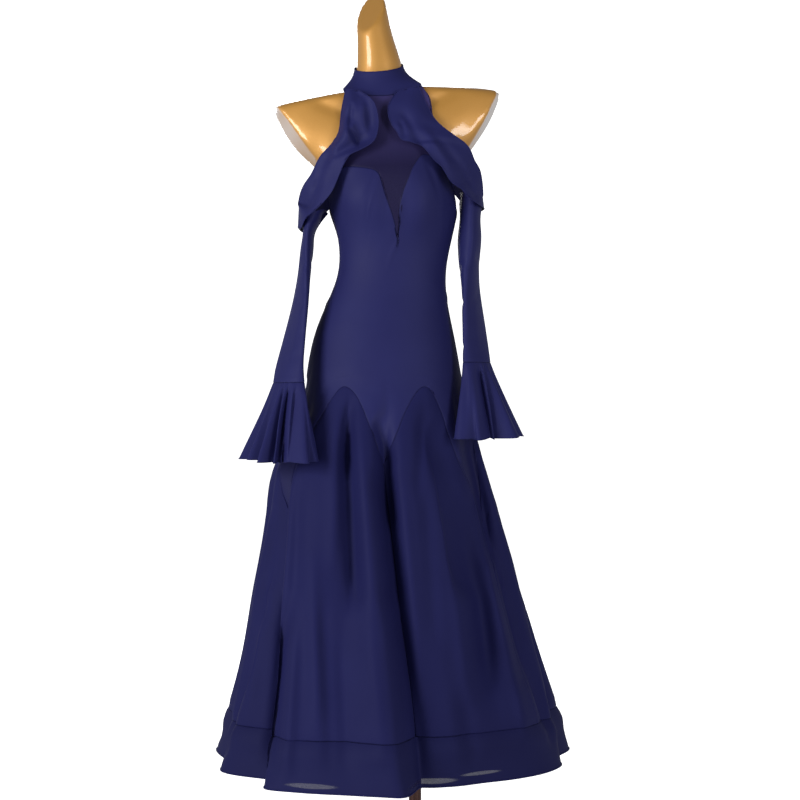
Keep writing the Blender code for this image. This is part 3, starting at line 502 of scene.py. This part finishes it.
# ---------------------------------------------------------------- the pieces
# node, material, slot, fineness, the cut's width, length and area, how it is held, what it rests on
CUTS = (
    ("collar", CREPE, "crepe", 2, 0.46, 0.09, 0.0220, "stretched", ("form_body",)),
    ("yoke_front", NET, "net", 2, 0.22, 0.31, 0.0315, "stretched", ("form_body",)),
    ("bodice_front", CREPE, "crepe", 2, 0.42, 0.74, 0.1820, "stretched", ("form_body",)),
    ("bodice_back", CREPE, "crepe", 2, 0.42, 0.87, 0.2180, "stretched", ("form_body",)),
    ("gore_1", GEORGETTE, "georgette", 2, 0.36, 0.66, 0.1520, "hung", ("bodice_front",)),
    ("gore_2", GEORGETTE, "georgette", 2, 0.42, 0.66, 0.1740, "hung", ("bodice_front",)),
    ("gore_3", GEORGETTE, "georgette", 2, 0.43, 0.66, 0.1840, "hung", ("bodice_front",)),
    ("gore_4", GEORGETTE, "georgette", 2, 0.33, 0.66, 0.1390, "hung", ("bodice_front",)),
    ("gore_5", GEORGETTE, "georgette", 2, 0.35, 0.66, 0.1480, "hung", ("bodice_back",)),
    ("gore_6", GEORGETTE, "georgette", 2, 0.38, 0.66, 0.1600, "hung", ("bodice_back",)),
    ("hem_band", SHEER_HEM, "hem_georgette", 2, 2.35, 0.092, 0.2040, "hung", ("gore_1",)),
    ("underskirt", LINING, "lining", 2, 2.25, 0.39, 0.7420, "hung", ("gore_1",)),
    ("sleeve_left", CREPE, "crepe", 2, 0.23, 0.35, 0.0780, "hung", ("ruffle_left",)),
    ("sleeve_right", CREPE, "crepe", 2, 0.235, 0.32, 0.0740, "hung", ("ruffle_right",)),
    ("cuff_left", CREPE, "crepe", 2, 0.46, 0.15, 0.0512, "hung", ("sleeve_left",)),
    ("cuff_right", CREPE, "crepe", 2, 0.40, 0.15, 0.0444, "hung", ("sleeve_right",)),
    ("ruffle_left", CREPE, "crepe", 3, 0.60, 0.10, 0.0458, "draped", ("yoke_front",)),
    ("ruffle_right", CREPE, "crepe", 3, 0.56, 0.10, 0.0434, "draped", ("yoke_front",)),
)
# Where a piece's open edge is a hem and not a seam
HEMS = {
    "collar": lambda p: p.z > 1.510,
    "hem_band": lambda p: p.z < 0.200,
    "underskirt": lambda p: p.z < 0.300,
    "cuff_left": lambda p: p.z < 0.800,
    "cuff_right": lambda p: p.z < 0.830,
    "sleeve_left": lambda p: p.z > 1.200,
    "sleeve_right": lambda p: p.z > 1.200,
    "ruffle_left": lambda p: True,
    "ruffle_right": lambda p: True,
}
# view, start (across, height), end, half width and depth; a negative depth is a ridge
SKIRT_FOLDS = (
    ("front", (-0.244, 0.480), (-0.268, 0.188), 0.013, 0.022),
    ("front", (-0.226, 0.498), (-0.237, 0.197), 0.012, -0.010),
    ("front", (-0.154, 0.850), (-0.155, 0.571), 0.012, -0.007),
    ("front", (-0.112, 0.845), (-0.083, 0.498), 0.012, -0.007),
    ("front", (-0.130, 0.866), (-0.129, 0.740), 0.009, 0.015),
    ("front", (-0.132, 0.800), (-0.114, 0.500), 0.014, 0.024),
    ("front", (-0.224, 0.700), (-0.232, 0.426), 0.013, 0.010),
    ("front", (-0.197, 0.571), (-0.181, 0.284), 0.015, -0.009),
    ("front", (-0.172, 0.480), (-0.156, 0.214), 0.012, 0.007),
    ("front", (-0.142, 0.426), (-0.129, 0.214), 0.016, 0.009),
    ("front", (-0.092, 0.480), (-0.062, 0.230), 0.015, -0.006),
    ("front", (-0.073, 0.832), (-0.051, 0.755), 0.014, 0.015),
    ("front", (-0.056, 0.775), (-0.047, 0.640), 0.013, 0.019),
    ("front", (-0.060, 0.740), (-0.043, 0.498), 0.016, 0.020),
    ("front", (-0.047, 0.516), (-0.010, 0.188), 0.017, 0.022),
    ("front", (-0.026, 0.683), (0.007, 0.319), 0.013, -0.007),
    ("front", (0.022, 0.850), (0.002, 0.700), 0.011, 0.006),
    ("front", (0.016, 0.710), (0.037, 0.426), 0.016, 0.007),
    ("front", (0.062, 0.721), (0.100, 0.319), 0.018, -0.011),
    ("front", (0.103, 0.665), (0.140, 0.339), 0.022, 0.030),
    ("front", (0.087, 0.319), (0.102, 0.197), 0.016, 0.009),
    ("front", (0.158, 0.498), (0.211, 0.249), 0.013, -0.009),
    ("front", (0.181, 0.516), (0.211, 0.336), 0.015, 0.014),
    ("front", (0.098, 0.815), (0.150, 0.570), 0.016, 0.034),
    ("front", (0.142, 0.663), (0.181, 0.516), 0.012, 0.010),
    ("front", (-0.344, 0.426), (-0.354, 0.266), 0.012, 0.009),
    ("front", (-0.295, 0.720), (-0.311, 0.462), 0.015, 0.008),
    ("front", (-0.320, 0.498), (-0.320, 0.284), 0.012, -0.007),
    ("front", (0.232, 0.426), (0.257, 0.240), 0.014, 0.010),
    ("left", (-0.085, 0.660), (-0.120, 0.200), 0.015, 0.016),
    ("left", (-0.052, 0.640), (-0.078, 0.260), 0.014, -0.008),
    ("left", (-0.020, 0.740), (-0.035, 0.300), 0.017, 0.011),
    ("left", (0.045, 0.640), (0.075, 0.190), 0.014, 0.017),
    ("left", (0.100, 0.700), (0.140, 0.340), 0.016, 0.010),
    ("right", (-0.118, 0.820), (-0.165, 0.520), 0.018, 0.024),
    ("right", (-0.070, 0.640), (-0.100, 0.220), 0.015, 0.014),
    ("right", (-0.030, 0.620), (-0.040, 0.300), 0.014, -0.007),
    ("right", (0.000, 0.740), (0.012, 0.280), 0.017, 0.016),
    ("right", (0.060, 0.640), (0.105, 0.200), 0.015, 0.015),
    ("back", (-0.215, 0.640), (-0.262, 0.200), 0.015, 0.018),
    ("back", (-0.150, 0.760), (-0.165, 0.330), 0.018, 0.017),
    ("back", (-0.120, 0.640), (-0.128, 0.250), 0.013, -0.009),
    ("back", (-0.095, 0.720), (-0.088, 0.190), 0.015, 0.020),
    ("back", (-0.030, 0.780), (-0.012, 0.380), 0.017, 0.014),
    ("back", (0.020, 0.680), (0.052, 0.190), 0.016, 0.019),
    ("back", (0.055, 0.640), (0.085, 0.240), 0.013, -0.009),
    ("back", (0.085, 0.740), (0.118, 0.360), 0.018, 0.015),
    ("back", (0.130, 0.600), (0.182, 0.200), 0.015, 0.018),
)
# The bodice is tight on the form, so it only has low ridges where the cloth pulls.
BODICE_PULLS = (
    ("front", (-0.166, 1.252), (-0.123, 1.200), 0.006, -0.0016),
    ("front", (0.079, 1.233), (0.040, 1.184), 0.006, -0.0014),
    ("front", (-0.034, 1.188), (-0.053, 1.141), 0.005, -0.0010),
    ("front", (-0.189, 1.010), (-0.123, 1.025), 0.007, -0.0013),
    ("front", (0.059, 1.058), (0.009, 1.033), 0.007, -0.0012),
    ("front", (-0.181, 0.928), (-0.108, 0.940), 0.008, -0.0016),
    ("front", (0.071, 0.981), (0.005, 0.967), 0.008, -0.0013),
    ("front", (-0.158, 1.320), (-0.127, 1.262), 0.006, -0.0012),
    ("back", (-0.160, 1.140), (-0.085, 1.118), 0.006, -0.0014),
    ("back", (0.040, 1.128), (-0.028, 1.104), 0.006, -0.0012),
    ("back", (-0.150, 1.098), (-0.092, 1.088), 0.005, -0.0011),
    ("back", (0.052, 1.080), (-0.020, 1.069), 0.006, -0.0013),
    ("back", (-0.166, 1.262), (-0.120, 1.215), 0.006, -0.0013),
    ("back", (0.062, 1.250), (0.010, 1.205), 0.006, -0.0012),
    ("left", (-0.040, 1.062), (0.050, 1.075), 0.006, -0.0014),
    ("right", (-0.045, 1.090), (0.040, 1.072), 0.006, -0.0013),
)
SLEEVE_CREASES = (
    ("front", (-0.228, 1.148), (-0.205, 1.128), 0.006, 0.003),
    ("front", (-0.205, 1.102), (-0.228, 1.080), 0.006, 0.0025),
    ("front", (-0.242, 1.013), (-0.216, 1.001), 0.006, 0.002),
    ("front", (-0.262, 0.949), (-0.222, 0.961), 0.006, 0.002),
    ("front", (-0.220, 1.072), (-0.248, 0.933), 0.007, -0.002),
    ("front", (0.093, 1.148), (0.125, 1.128), 0.006, 0.003),
    ("front", (0.129, 1.092), (0.097, 1.072), 0.006, 0.002),
    ("front", (0.101, 0.993), (0.141, 1.005), 0.006, 0.002),
    ("front", (0.113, 1.211), (0.125, 0.973), 0.007, -0.002),
    ("left", (-0.060, 1.150), (-0.015, 1.128), 0.006, 0.003),
    ("left", (-0.070, 1.060), (-0.030, 1.072), 0.006, 0.0025),
    ("left", (-0.085, 0.985), (-0.045, 0.972), 0.006, 0.002),
    ("right", (-0.040, 1.160), (0.010, 1.141), 0.006, 0.003),
    ("right", (-0.050, 1.068), (-0.010, 1.084), 0.006, 0.0025),
    ("back", (-0.215, 1.120), (-0.245, 1.095), 0.006, 0.003),
    ("back", (0.100, 1.130), (0.130, 1.104), 0.006, 0.003),
)
RUFFLE_FOLDS = (
    ("front", (-0.128, 1.436), (-0.106, 1.380), 0.012, 0.010),
    ("front", (-0.124, 1.452), (-0.129, 1.408), 0.005, 0.006),
    ("front", (-0.129, 1.405), (-0.110, 1.372), 0.005, 0.006),
    ("front", (-0.104, 1.462), (-0.096, 1.390), 0.010, -0.008),
    ("front", (-0.166, 1.360), (-0.201, 1.292), 0.010, 0.005),
    ("front", (-0.139, 1.418), (-0.166, 1.331), 0.007, -0.003),
    ("front", (-0.189, 1.302), (-0.215, 1.247), 0.008, 0.005),
    ("front", (-0.022, 1.434), (0.017, 1.360), 0.009, 0.005),
    ("front", (-0.030, 1.418), (-0.018, 1.391), 0.005, 0.004),
    ("front", (0.048, 1.379), (0.106, 1.305), 0.010, 0.005),
    ("front", (0.019, 1.399), (0.067, 1.331), 0.008, -0.003),
    ("front", (0.091, 1.331), (0.122, 1.267), 0.008, 0.005),
    ("back", (-0.170, 1.350), (-0.205, 1.280), 0.010, 0.005),
    ("back", (-0.150, 1.380), (-0.175, 1.320), 0.008, -0.003),
    ("back", (0.055, 1.370), (0.105, 1.300), 0.010, 0.005),
    ("back", (0.030, 1.390), (0.070, 1.335), 0.008, -0.003),
    ("left", (-0.050, 1.400), (-0.055, 1.300), 0.010, 0.004),
    ("left", (0.030, 1.390), (0.040, 1.290), 0.010, 0.005),
    ("right", (-0.040, 1.400), (-0.060, 1.310), 0.010, 0.004),
    ("right", (0.035, 1.395), (0.045, 1.300), 0.010, 0.005),
)
# The form's shallow hollows between its neck and its arm cuts
FORM_HOLLOWS = (
    ("front", (-0.204, 1.468), (-0.130, 1.434), 0.013, 0.0035),
    ("front", (0.030, 1.458), (0.086, 1.492), 0.013, 0.0035),
)


def creases_of(node):
    """The creases of a piece. The bodice's long points take the skirt's folds too."""
    if node.startswith(("gore", "hem", "underskirt")):
        return SKIRT_FOLDS
    if node.startswith("bodice"):
        return SKIRT_FOLDS + BODICE_PULLS
    if node.startswith("sleeve"):
        return SLEEVE_CREASES
    return RUFFLE_FOLDS if node.startswith("ruffle") else ()


# The cuff's centre line from the wrist to the hem, then each flute's direction in degrees (-90 faces the
# front), half width in degrees and depth at the hem; a negative depth is a ridge
CUFF_FLUTES = {
    "cuff_left": (
        (-0.2475, -0.0801, 0.904), (-0.2693, -0.1465, 0.759),
        (
            (-160, 9, 0.005), (-140, 8, -0.004), (-121, 7, 0.010), (-104, 8, -0.003), (-83, 7, 0.020),
            (-72, 4, -0.002), (-61, 7, 0.020), (-46, 8, -0.005), (-31, 7, 0.005), (-12, 9, -0.003),
            (14, 8, 0.008), (38, 9, -0.003), (62, 8, 0.009), (95, 9, 0.007), (118, 9, -0.003),
            (141, 8, 0.008), (172, 8, 0.006),
        ),
    ),
    "cuff_right": (
        (0.1216, -0.0482, 0.944), (0.1409, -0.0989, 0.802),
        (
            (-158, 10, -0.003), (-130, 9, 0.012), (-112, 8, -0.003), (-94, 12, 0.026), (-79, 11, 0.026),
            (-41, 9, 0.005), (-18, 9, -0.003), (8, 8, 0.008), (40, 9, 0.006), (66, 9, -0.003),
            (92, 8, 0.009), (128, 9, 0.007), (165, 8, 0.008),
        ),
    ),
}

# How far a cuff's hem swings to the right, and the share of that by which its left side swings
FLUTE_SWAY, SWAY_LEFT = {"cloth_cuff_left": 0.008, "cloth_cuff_right": 0.005}, 0.4
FLUTE_DROP = 0.007  # how much lower the cuffs' hems hang in front
FLUTE_LIFT = 0.14  # how much the hem rises in a trough, as a share of the trough's depth
FLUTE_START = 0.12  # the share of the cuff's length over which its flutes begin
FLUTE_SPREAD = 0.4  # the power by which they then deepen; under 1 they deepen early


def flute(piece, wrist, mouth, flutes):
    """Folds a cuff into soft flutes that open from nothing at the wrist. The hem rises in each trough."""
    wrist, mouth = Vector(wrist), Vector(mouth)
    for vertex in piece.data.vertices:
        share = clamp((wrist.z - vertex.co.z) / (wrist.z - mouth.z))
        out = vertex.co - wrist.lerp(mouth, share)
        turn = math.degrees(math.atan2(out.y, out.x))
        depth = 0.0
        for direction, half, deepest in flutes:
            off = (turn - direction + 180) % 360 - 180
            depth += deepest * math.exp(-((off / half) ** 2))
        depth *= min(1.0, share / FLUTE_START) * share ** FLUTE_SPREAD
        front = max(0.0, -out.normalized().y)
        vertex.co -= Vector((out.x, out.y, 0.0)).normalized() * depth
        vertex.co.x += FLUTE_SWAY[piece.name] * share * (SWAY_LEFT + max(0.0, out.normalized().x))
        vertex.co.z += FLUTE_LIFT * depth * share - FLUTE_DROP * share ** 2 * front


# Turned hems: node, radius, material, slot
ROLLS = (
    ("collar", 0.9 * MM, CREPE, "crepe"),
    ("hem_band", 1.6 * MM, GEORGETTE, "georgette"),
    ("cuff_left", 1.0 * MM, CREPE, "crepe"),
    ("cuff_right", 1.0 * MM, CREPE, "crepe"),
    ("ruffle_left", 0.8 * MM, CREPE, "crepe"),
    ("ruffle_right", 0.8 * MM, CREPE, "crepe"),
)
# Pieces whose edge lies under or over their neighbour's: its reach, its sink, and more reach above the bust
GORE_UNDERLAP = (1.0 * MM, 0.7 * MM)
UNDERLAPS = {
    "gore_1": GORE_UNDERLAP,
    "gore_2": GORE_UNDERLAP,
    "gore_3": GORE_UNDERLAP,
    "gore_4": GORE_UNDERLAP,
    "gore_5": GORE_UNDERLAP,
    "gore_6": GORE_UNDERLAP,
    "cuff_left": (1.5 * MM, 0.8 * MM),
    "cuff_right": (1.5 * MM, 0.8 * MM),
    "yoke_front": (3.2 * MM, 1.7 * MM),
    "bodice_front": (0.9 * MM, SEAM_SINK, 0.5 * MM),
    "collar": (1.2 * MM, 0.3 * MM),
}
# Where a piece hangs a little off its solid: across, height, radius and move, for its front half
NUDGES = {
    "ruffle_left": ((-0.078, 1.412, 0.040, (0.0, 0.006, 0.0)),),
    "ruffle_right": (
        (0.070, 1.305, 0.034, (-0.004, 0.0, -0.008)),
        (-0.022, 1.388, 0.018, (-0.003, -0.002, -0.005)),
    ),
    "sleeve_right": ((0.088, 1.266, 0.036, (0.003, 0.0, 0.022)),),
    "sleeve_left": ((-0.172, 1.240, 0.026, (-0.006, 0.0, 0.006)),),
}
FRONT_HALF = 0.01  # a point with a smaller y is in a piece's front half


def nudge(piece, moves):
    """Moves a round patch of a piece's front half, most of all at its middle."""
    for across, height, radius, move in moves:
        for vertex in piece.data.vertices:
            off = math.hypot(vertex.co.x - across, vertex.co.z - height) / radius
            if off < 1 and vertex.co.y < FRONT_HALF:
                vertex.co += Vector(move) * (1 - off ** 2) ** 2


NET_REACH = 0.011  # how far around a point the net is taken as flat
NET_FORWARD = 0.0003  # how much the net is then set forward


def even_out(piece):
    """Net pulled tight has no ripple: each inner point is set on the plane that fits the points around it."""
    cloth = bmesh.new()
    cloth.from_mesh(piece.data)
    places = np.array([v.co[:] for v in cloth.verts])
    for vertex in cloth.verts:
        if vertex.is_boundary:
            continue
        off = places - places[vertex.index]
        near = np.hypot(off[:, 0], off[:, 2]) < NET_REACH
        sides = np.column_stack((np.ones(near.sum()), off[near, 0], off[near, 2]))
        vertex.co.y += np.linalg.lstsq(sides, off[near, 1], rcond=None)[0][0] - NET_FORWARD
    cloth.to_mesh(piece.data)
    cloth.free()


def outwards(point):
    """The level direction from the midline to a point."""
    return Vector((point.x - MIDLINE.x, point.y, 0.0)).normalized()


# How far out, how far below the hem band's seam, half width
HEM_WAVES = ((0.004, 0.024, 0.016), (-0.003, 0.0, 0.008))


def belly(piece):
    """The stiffened hem band stands out a little below its seam with the gores, and is drawn in at it."""
    for vertex in piece.data.vertices:
        drop = HEM_SEAM - vertex.co.z
        out = sum(rise * math.exp(-(((drop - below) / half) ** 2)) for rise, below, half in HEM_WAVES)
        vertex.co += outwards(vertex.co) * out


UNDERSKIRT_IN = 0.007  # how much closer the underskirt hangs than its solid
UNDERSKIRT_SLOPE = 0.25  # the height above the hem band's seam over which it comes in


def draw_in(piece):
    """The underskirt hangs a little closer than the gores, most of all at its top."""
    for vertex in piece.data.vertices:
        share = clamp((vertex.co.z - HEM_SEAM) / UNDERSKIRT_SLOPE)
        vertex.co -= outwards(vertex.co) * UNDERSKIRT_IN * share


made = {}
for node, _, _, fineness, *_ in CUTS:
    made[node] = smoothed("cloth_" + node, outside_of(node), fineness)
    crease(made[node], creases_of(node))
    if node in CUFF_FLUTES:
        flute(made[node], *CUFF_FLUTES[node])
    nudge(made[node], NUDGES.get(node, ()))
    if node.startswith(("gore", "hem")):
        belly(made[node])
    if node == "underskirt":
        draw_in(made[node])
    if node == "yoke_front":
        even_out(made[node])
skirt_seams = border_tree([made["bodice_front"], made["bodice_back"], made["hem_band"]])
for node, material, slot, _, width, length, area, held, on in CUTS:
    piece = made[node]
    drawn = skirt_seams if node.startswith("gore") else None
    sew(piece, HEMS.get(node, lambda p: False), drawn, *UNDERLAPS.get(node, (SEAM_REACH, SEAM_SINK)))
    finish_cloth(piece, node, material, slot, flat=(width, length), held=held, rests_on=list(on), area=area)
for node, radius, material, slot in ROLLS:
    roll_along("roll_" + node, border_loops(made[node], HEMS[node]), radius, material)


FORM_EDGE = math.radians(33)  # a sharper edge of the form's solid is the rim of a cut
FORM_VOXEL = 3.6 * MM  # how finely the shell is cast
FORM_RUB, FORM_RUBS = 0.5, 14  # how strongly and how often the shell is rubbed smooth
ARM_OUT = 0.14  # an arm cut is further from the middle than this
ARM_FOOT, ARM_TOP = 1.28, 1.52  # and lies between these heights
CUT_TILT, CUT_BLEND = 0.70, 0.18  # where a face turns far enough to the side to be a cut, and the blend


def form_shell():
    """The limbless form: a smooth lacquered shell with flat, softly rounded cuts at the arms and neck."""
    cage = in_quads(merged_copy("form_body"), fold=30)
    sharp = cage.edges.layers.float.new("crease_edge")
    for edge in cage.edges:
        if len(edge.link_faces) == 2 and edge.calc_face_angle() > FORM_EDGE:
            edge[sharp] = 1.0
    shell = smoothed("form_shell", cage, 2)
    cast = shell.modifiers.new("Cast", "REMESH")
    cast.mode = "VOXEL"
    cast.voxel_size = FORM_VOXEL
    rubbed = shell.modifiers.new("Rubbed", "SMOOTH")
    rubbed.factor, rubbed.iterations = FORM_RUB, FORM_RUBS
    bpy.context.view_layer.update()
    mesh = bpy.data.meshes.new_from_object(shell.evaluated_get(bpy.context.evaluated_depsgraph_get()))
    shell.modifiers.clear()
    shell.data = mesh
    mesh.shade_smooth()
    crease(shell, FORM_HOLLOWS)
    mesh.materials.clear()
    mesh.materials.append(GOLD)
    cut = mesh.attributes.new("cut", "FLOAT", "POINT")
    for vertex in mesh.vertices:
        if abs(vertex.co.x - MIDLINE.x) > ARM_OUT and ARM_FOOT < vertex.co.z < ARM_TOP:
            cut.data[vertex.index].value = clamp((abs(vertex.normal.x) - CUT_TILT) / CUT_BLEND)
    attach(shell, "root")
    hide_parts("form_body")


ZIP_TOP, ZIP_FOOT = 1.522, 0.985  # heights of the zip's two ends
ZIP_STEPS = 90
LIP_OUT, LIP_PROUD, LIP_RADIUS = 0.9 * MM, 0.15 * MM, 0.8 * MM  # from the middle, and off the cloth
SLIDER_DROP = 12 * MM  # how far below the zip's top the slider is
SLIDER_SIZE = (5 * MM, 3.5 * MM, 9 * MM)
SLIDER_PROUD, SLIDER_BEVEL = 1.6 * MM, 1.1 * MM
TAB_RADIUS, TAB_THICK, TAB_LENGTH = 2.6 * MM, 1.2 * MM, 13 * MM
TAB_TAPER, TAB_STRETCH = 60, 3.0  # how a round tab narrows upwards, per metre, and how much longer it is
TAB_PROUD, TAB_DROP = 2.6 * MM, 8 * MM  # the tab's place off the cloth and below the slider's middle


def zip_pull(on_back):
    """The zip's small metal slider, with a pear-shaped tab that hangs along the back."""
    top = on_back(MIDLINE.x, ZIP_TOP - SLIDER_DROP)
    hang = on_back(MIDLINE.x, top.z - TAB_LENGTH)
    metal = bmesh.new()
    tab = bmesh.ops.create_cone(
        metal,
        cap_ends=True,
        segments=28,
        radius1=TAB_RADIUS,
        radius2=TAB_RADIUS,
        depth=TAB_THICK,
    )["verts"]
    for vertex in tab:
        across, up, out = vertex.co
        vertex.co = Vector((across * (1.0 - TAB_TAPER * up), out + TAB_THICK / 2, up * TAB_STRETCH))
    lean = Matrix.Rotation(math.atan2(hang.y - top.y, TAB_LENGTH), 3, "X")
    place = Vector((MIDLINE.x, (top.y + hang.y) / 2 + TAB_PROUD, top.z - TAB_DROP))
    bmesh.ops.rotate(metal, cent=(0, 0, 0), matrix=lean, verts=tab)
    bmesh.ops.translate(metal, vec=place, verts=tab)
    slider = bmesh.ops.create_cube(metal, size=1.0)["verts"]
    bmesh.ops.scale(metal, vec=SLIDER_SIZE, verts=slider)
    bmesh.ops.translate(metal, vec=top + Vector((0.0, SLIDER_PROUD, 0.0)), verts=slider)
    bmesh.ops.bevel(
        metal,
        geom=[edge for edge in metal.edges if edge.verts[0] in slider],
        offset=SLIDER_BEVEL,
        segments=3,
        profile=0.5,
        affect="EDGES",
        material=-1,
    )
    bmesh.ops.recalc_face_normals(metal, faces=metal.faces)
    mesh = bpy.data.meshes.new("zip_pull")
    metal.to_mesh(mesh)
    metal.free()
    mesh.shade_smooth()
    mesh.materials.append(BRONZE)
    pull = bpy.data.objects.new("zip_pull", mesh)
    bpy.context.scene.collection.objects.link(pull)
    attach(pull, "root")


def zip_fastener():
    """A concealed zip at the centre back: its two lips, and the small pull at the top."""
    backs = []
    for node in ("collar", "bodice_back"):
        cloth = bmesh.new()
        cloth.from_mesh(made[node].data)
        backs.append(BVHTree.FromBMesh(cloth))
        cloth.free()

    def on_back(across, height):
        behind, forwards = Vector((across, 1.0, height)), Vector((0.0, -1.0, 0.0))
        hits = [tree.ray_cast(behind, forwards)[0] for tree in backs]
        return max((hit for hit in hits if hit), key=lambda hit: hit.y, default=None)

    lips = []
    heights = [ZIP_TOP - (ZIP_TOP - ZIP_FOOT) * i / ZIP_STEPS for i in range(ZIP_STEPS + 1)]
    for across in (MIDLINE.x - LIP_OUT, MIDLINE.x + LIP_OUT):
        places = [on_back(across, height) for height in heights]
        lips.append([place + Vector((0.0, LIP_PROUD, 0.0)) for place in places if place])
    roll_along("zip_lips", lips, LIP_RADIUS, CREPE)
    zip_pull(on_back)


zip_fastener()
form_shell()
for node in ("pole", "base"):
    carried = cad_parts[node]
    carried.data.materials.clear()
    carried.data.materials.append(BRONZE)


# ---------------------------------------------------------------- studio
ROOM_RADIUS, ROOM_HEIGHT, ROOM_PEAK = 8.0, 9.0, 11.0
COVE, COVE_STEPS = 2.5, 12  # the round between floor and wall
ROOM_GLOW = 0.95  # how brightly the room shines to the camera
AIR, AIR_OVERHEAD = 0.44, 0.16  # the light from all round, at the horizon and overhead, as under a ceiling
# name, place, aim, width, height, power in watts
LAMPS = (
    ("key", (-3.1, -2.5, 1.5), (0.0, 0.0, 0.9), 1.6, 2.2, 122.0),
    ("fill", (2.3, -3.2, 1.3), (0.0, 0.0, 1.0), 0.7, 2.2, 50.0),
    ("back", (-0.5, 3.9, 2.4), (0.0, 0.0, 0.9), 1.6, 1.6, 70.0),
)


def studio():
    """A round pale room, seen by the camera alone, and soft lamps, the largest from the front left."""
    room = bmesh.new()
    flat = ROOM_RADIUS - COVE
    profile = [Vector((0.0, 0.0, 0.0)), Vector((flat, 0.0, 0.0))]
    for i in range(1, COVE_STEPS + 1):
        turn = math.pi / 2 * i / COVE_STEPS
        profile.append(Vector((flat + COVE * math.sin(turn), 0.0, COVE - COVE * math.cos(turn))))
    profile.append(Vector((ROOM_RADIUS, 0.0, ROOM_HEIGHT)))
    profile.append(Vector((0.0, 0.0, ROOM_PEAK)))
    verts = [room.verts.new(p) for p in profile]
    bmesh.ops.spin(
        room,
        geom=verts + [room.edges.new(pair) for pair in zip(verts, verts[1:])],
        cent=(0, 0, 0),
        axis=(0, 0, 1),
        angle=2 * math.pi,
        steps=48,
        use_merge=True,
    )
    bmesh.ops.remove_doubles(room, verts=room.verts, dist=MM)
    bmesh.ops.recalc_face_normals(room, faces=room.faces)
    bmesh.ops.reverse_faces(room, faces=room.faces)
    mesh = bpy.data.meshes.new("studio_room")
    room.to_mesh(mesh)
    room.free()
    mesh.shade_smooth()
    paper, _, _, surface = start("white_paper")
    surface.inputs["Base Color"].default_value = linear("#f2f2f2")
    surface.inputs["Roughness"].default_value = 1.0
    surface.inputs["Specular IOR Level"].default_value = 0.0
    surface.inputs["Emission Color"].default_value = (1.0, 1.0, 1.0, 1.0)
    surface.inputs["Emission Strength"].default_value = ROOM_GLOW
    mesh.materials.append(paper)
    stage = bpy.data.objects.new("studio_room", mesh)
    stage.visible_diffuse = stage.visible_glossy = stage.visible_shadow = False
    stage.visible_transmission = False
    bpy.context.scene.collection.objects.link(stage)

    world = bpy.data.worlds.new("studio_air")
    world.use_nodes = True
    tree = world.node_tree
    tree.nodes["Background"].inputs["Color"].default_value = (1.0, 1.0, 1.0, 1.0)
    upwards = add(tree, "SeparateXYZ", Vector=add(tree, "TexCoord").outputs["Generated"]).outputs["Z"]
    # It fades from just above the horizon to nearly overhead.
    glow = add(tree, "MapRange", Value=upwards, i1=0.05, i2=0.75, i3=AIR, i4=AIR_OVERHEAD)
    tree.links.new(glow.outputs["Result"], tree.nodes["Background"].inputs["Strength"])
    bpy.context.scene.world = world

    for name, place, aim, width, height, power in LAMPS:
        light = bpy.data.lights.new(name, "AREA")
        light.shape = "RECTANGLE"
        light.size, light.size_y = width, height
        light.energy = power
        lamp = bpy.data.objects.new(name, light)
        lamp.location = place
        lamp.rotation_euler = (Vector(aim) - Vector(place)).to_track_quat("-Z", "Y").to_euler()
        bpy.context.scene.collection.objects.link(lamp)


CAMERA_SIDE, CAMERA_AWAY, CAMERA_HEIGHT = -0.03, 3.55, 0.874
VIEW_HALF = 0.8  # half the width that the camera sees at the dress
VIEW_END = 40.0  # how far the camera sees


def camera():
    """A level camera in front of the dress, which looks straight at it."""
    lens = bpy.data.cameras.new("camera")
    lens.sensor_fit = "HORIZONTAL"
    lens.angle = 2 * math.atan(VIEW_HALF / CAMERA_AWAY)
    lens.clip_end = VIEW_END
    eye = bpy.data.objects.new("camera", lens)
    eye.location = (CAMERA_SIDE, -CAMERA_AWAY, CAMERA_HEIGHT)
    eye.rotation_euler = (math.radians(90), 0.0, 0.0)
    bpy.context.scene.collection.objects.link(eye)
    bpy.context.scene.camera = eye


studio()
camera()
bpy.context.scene.view_settings.view_transform = "Standard"
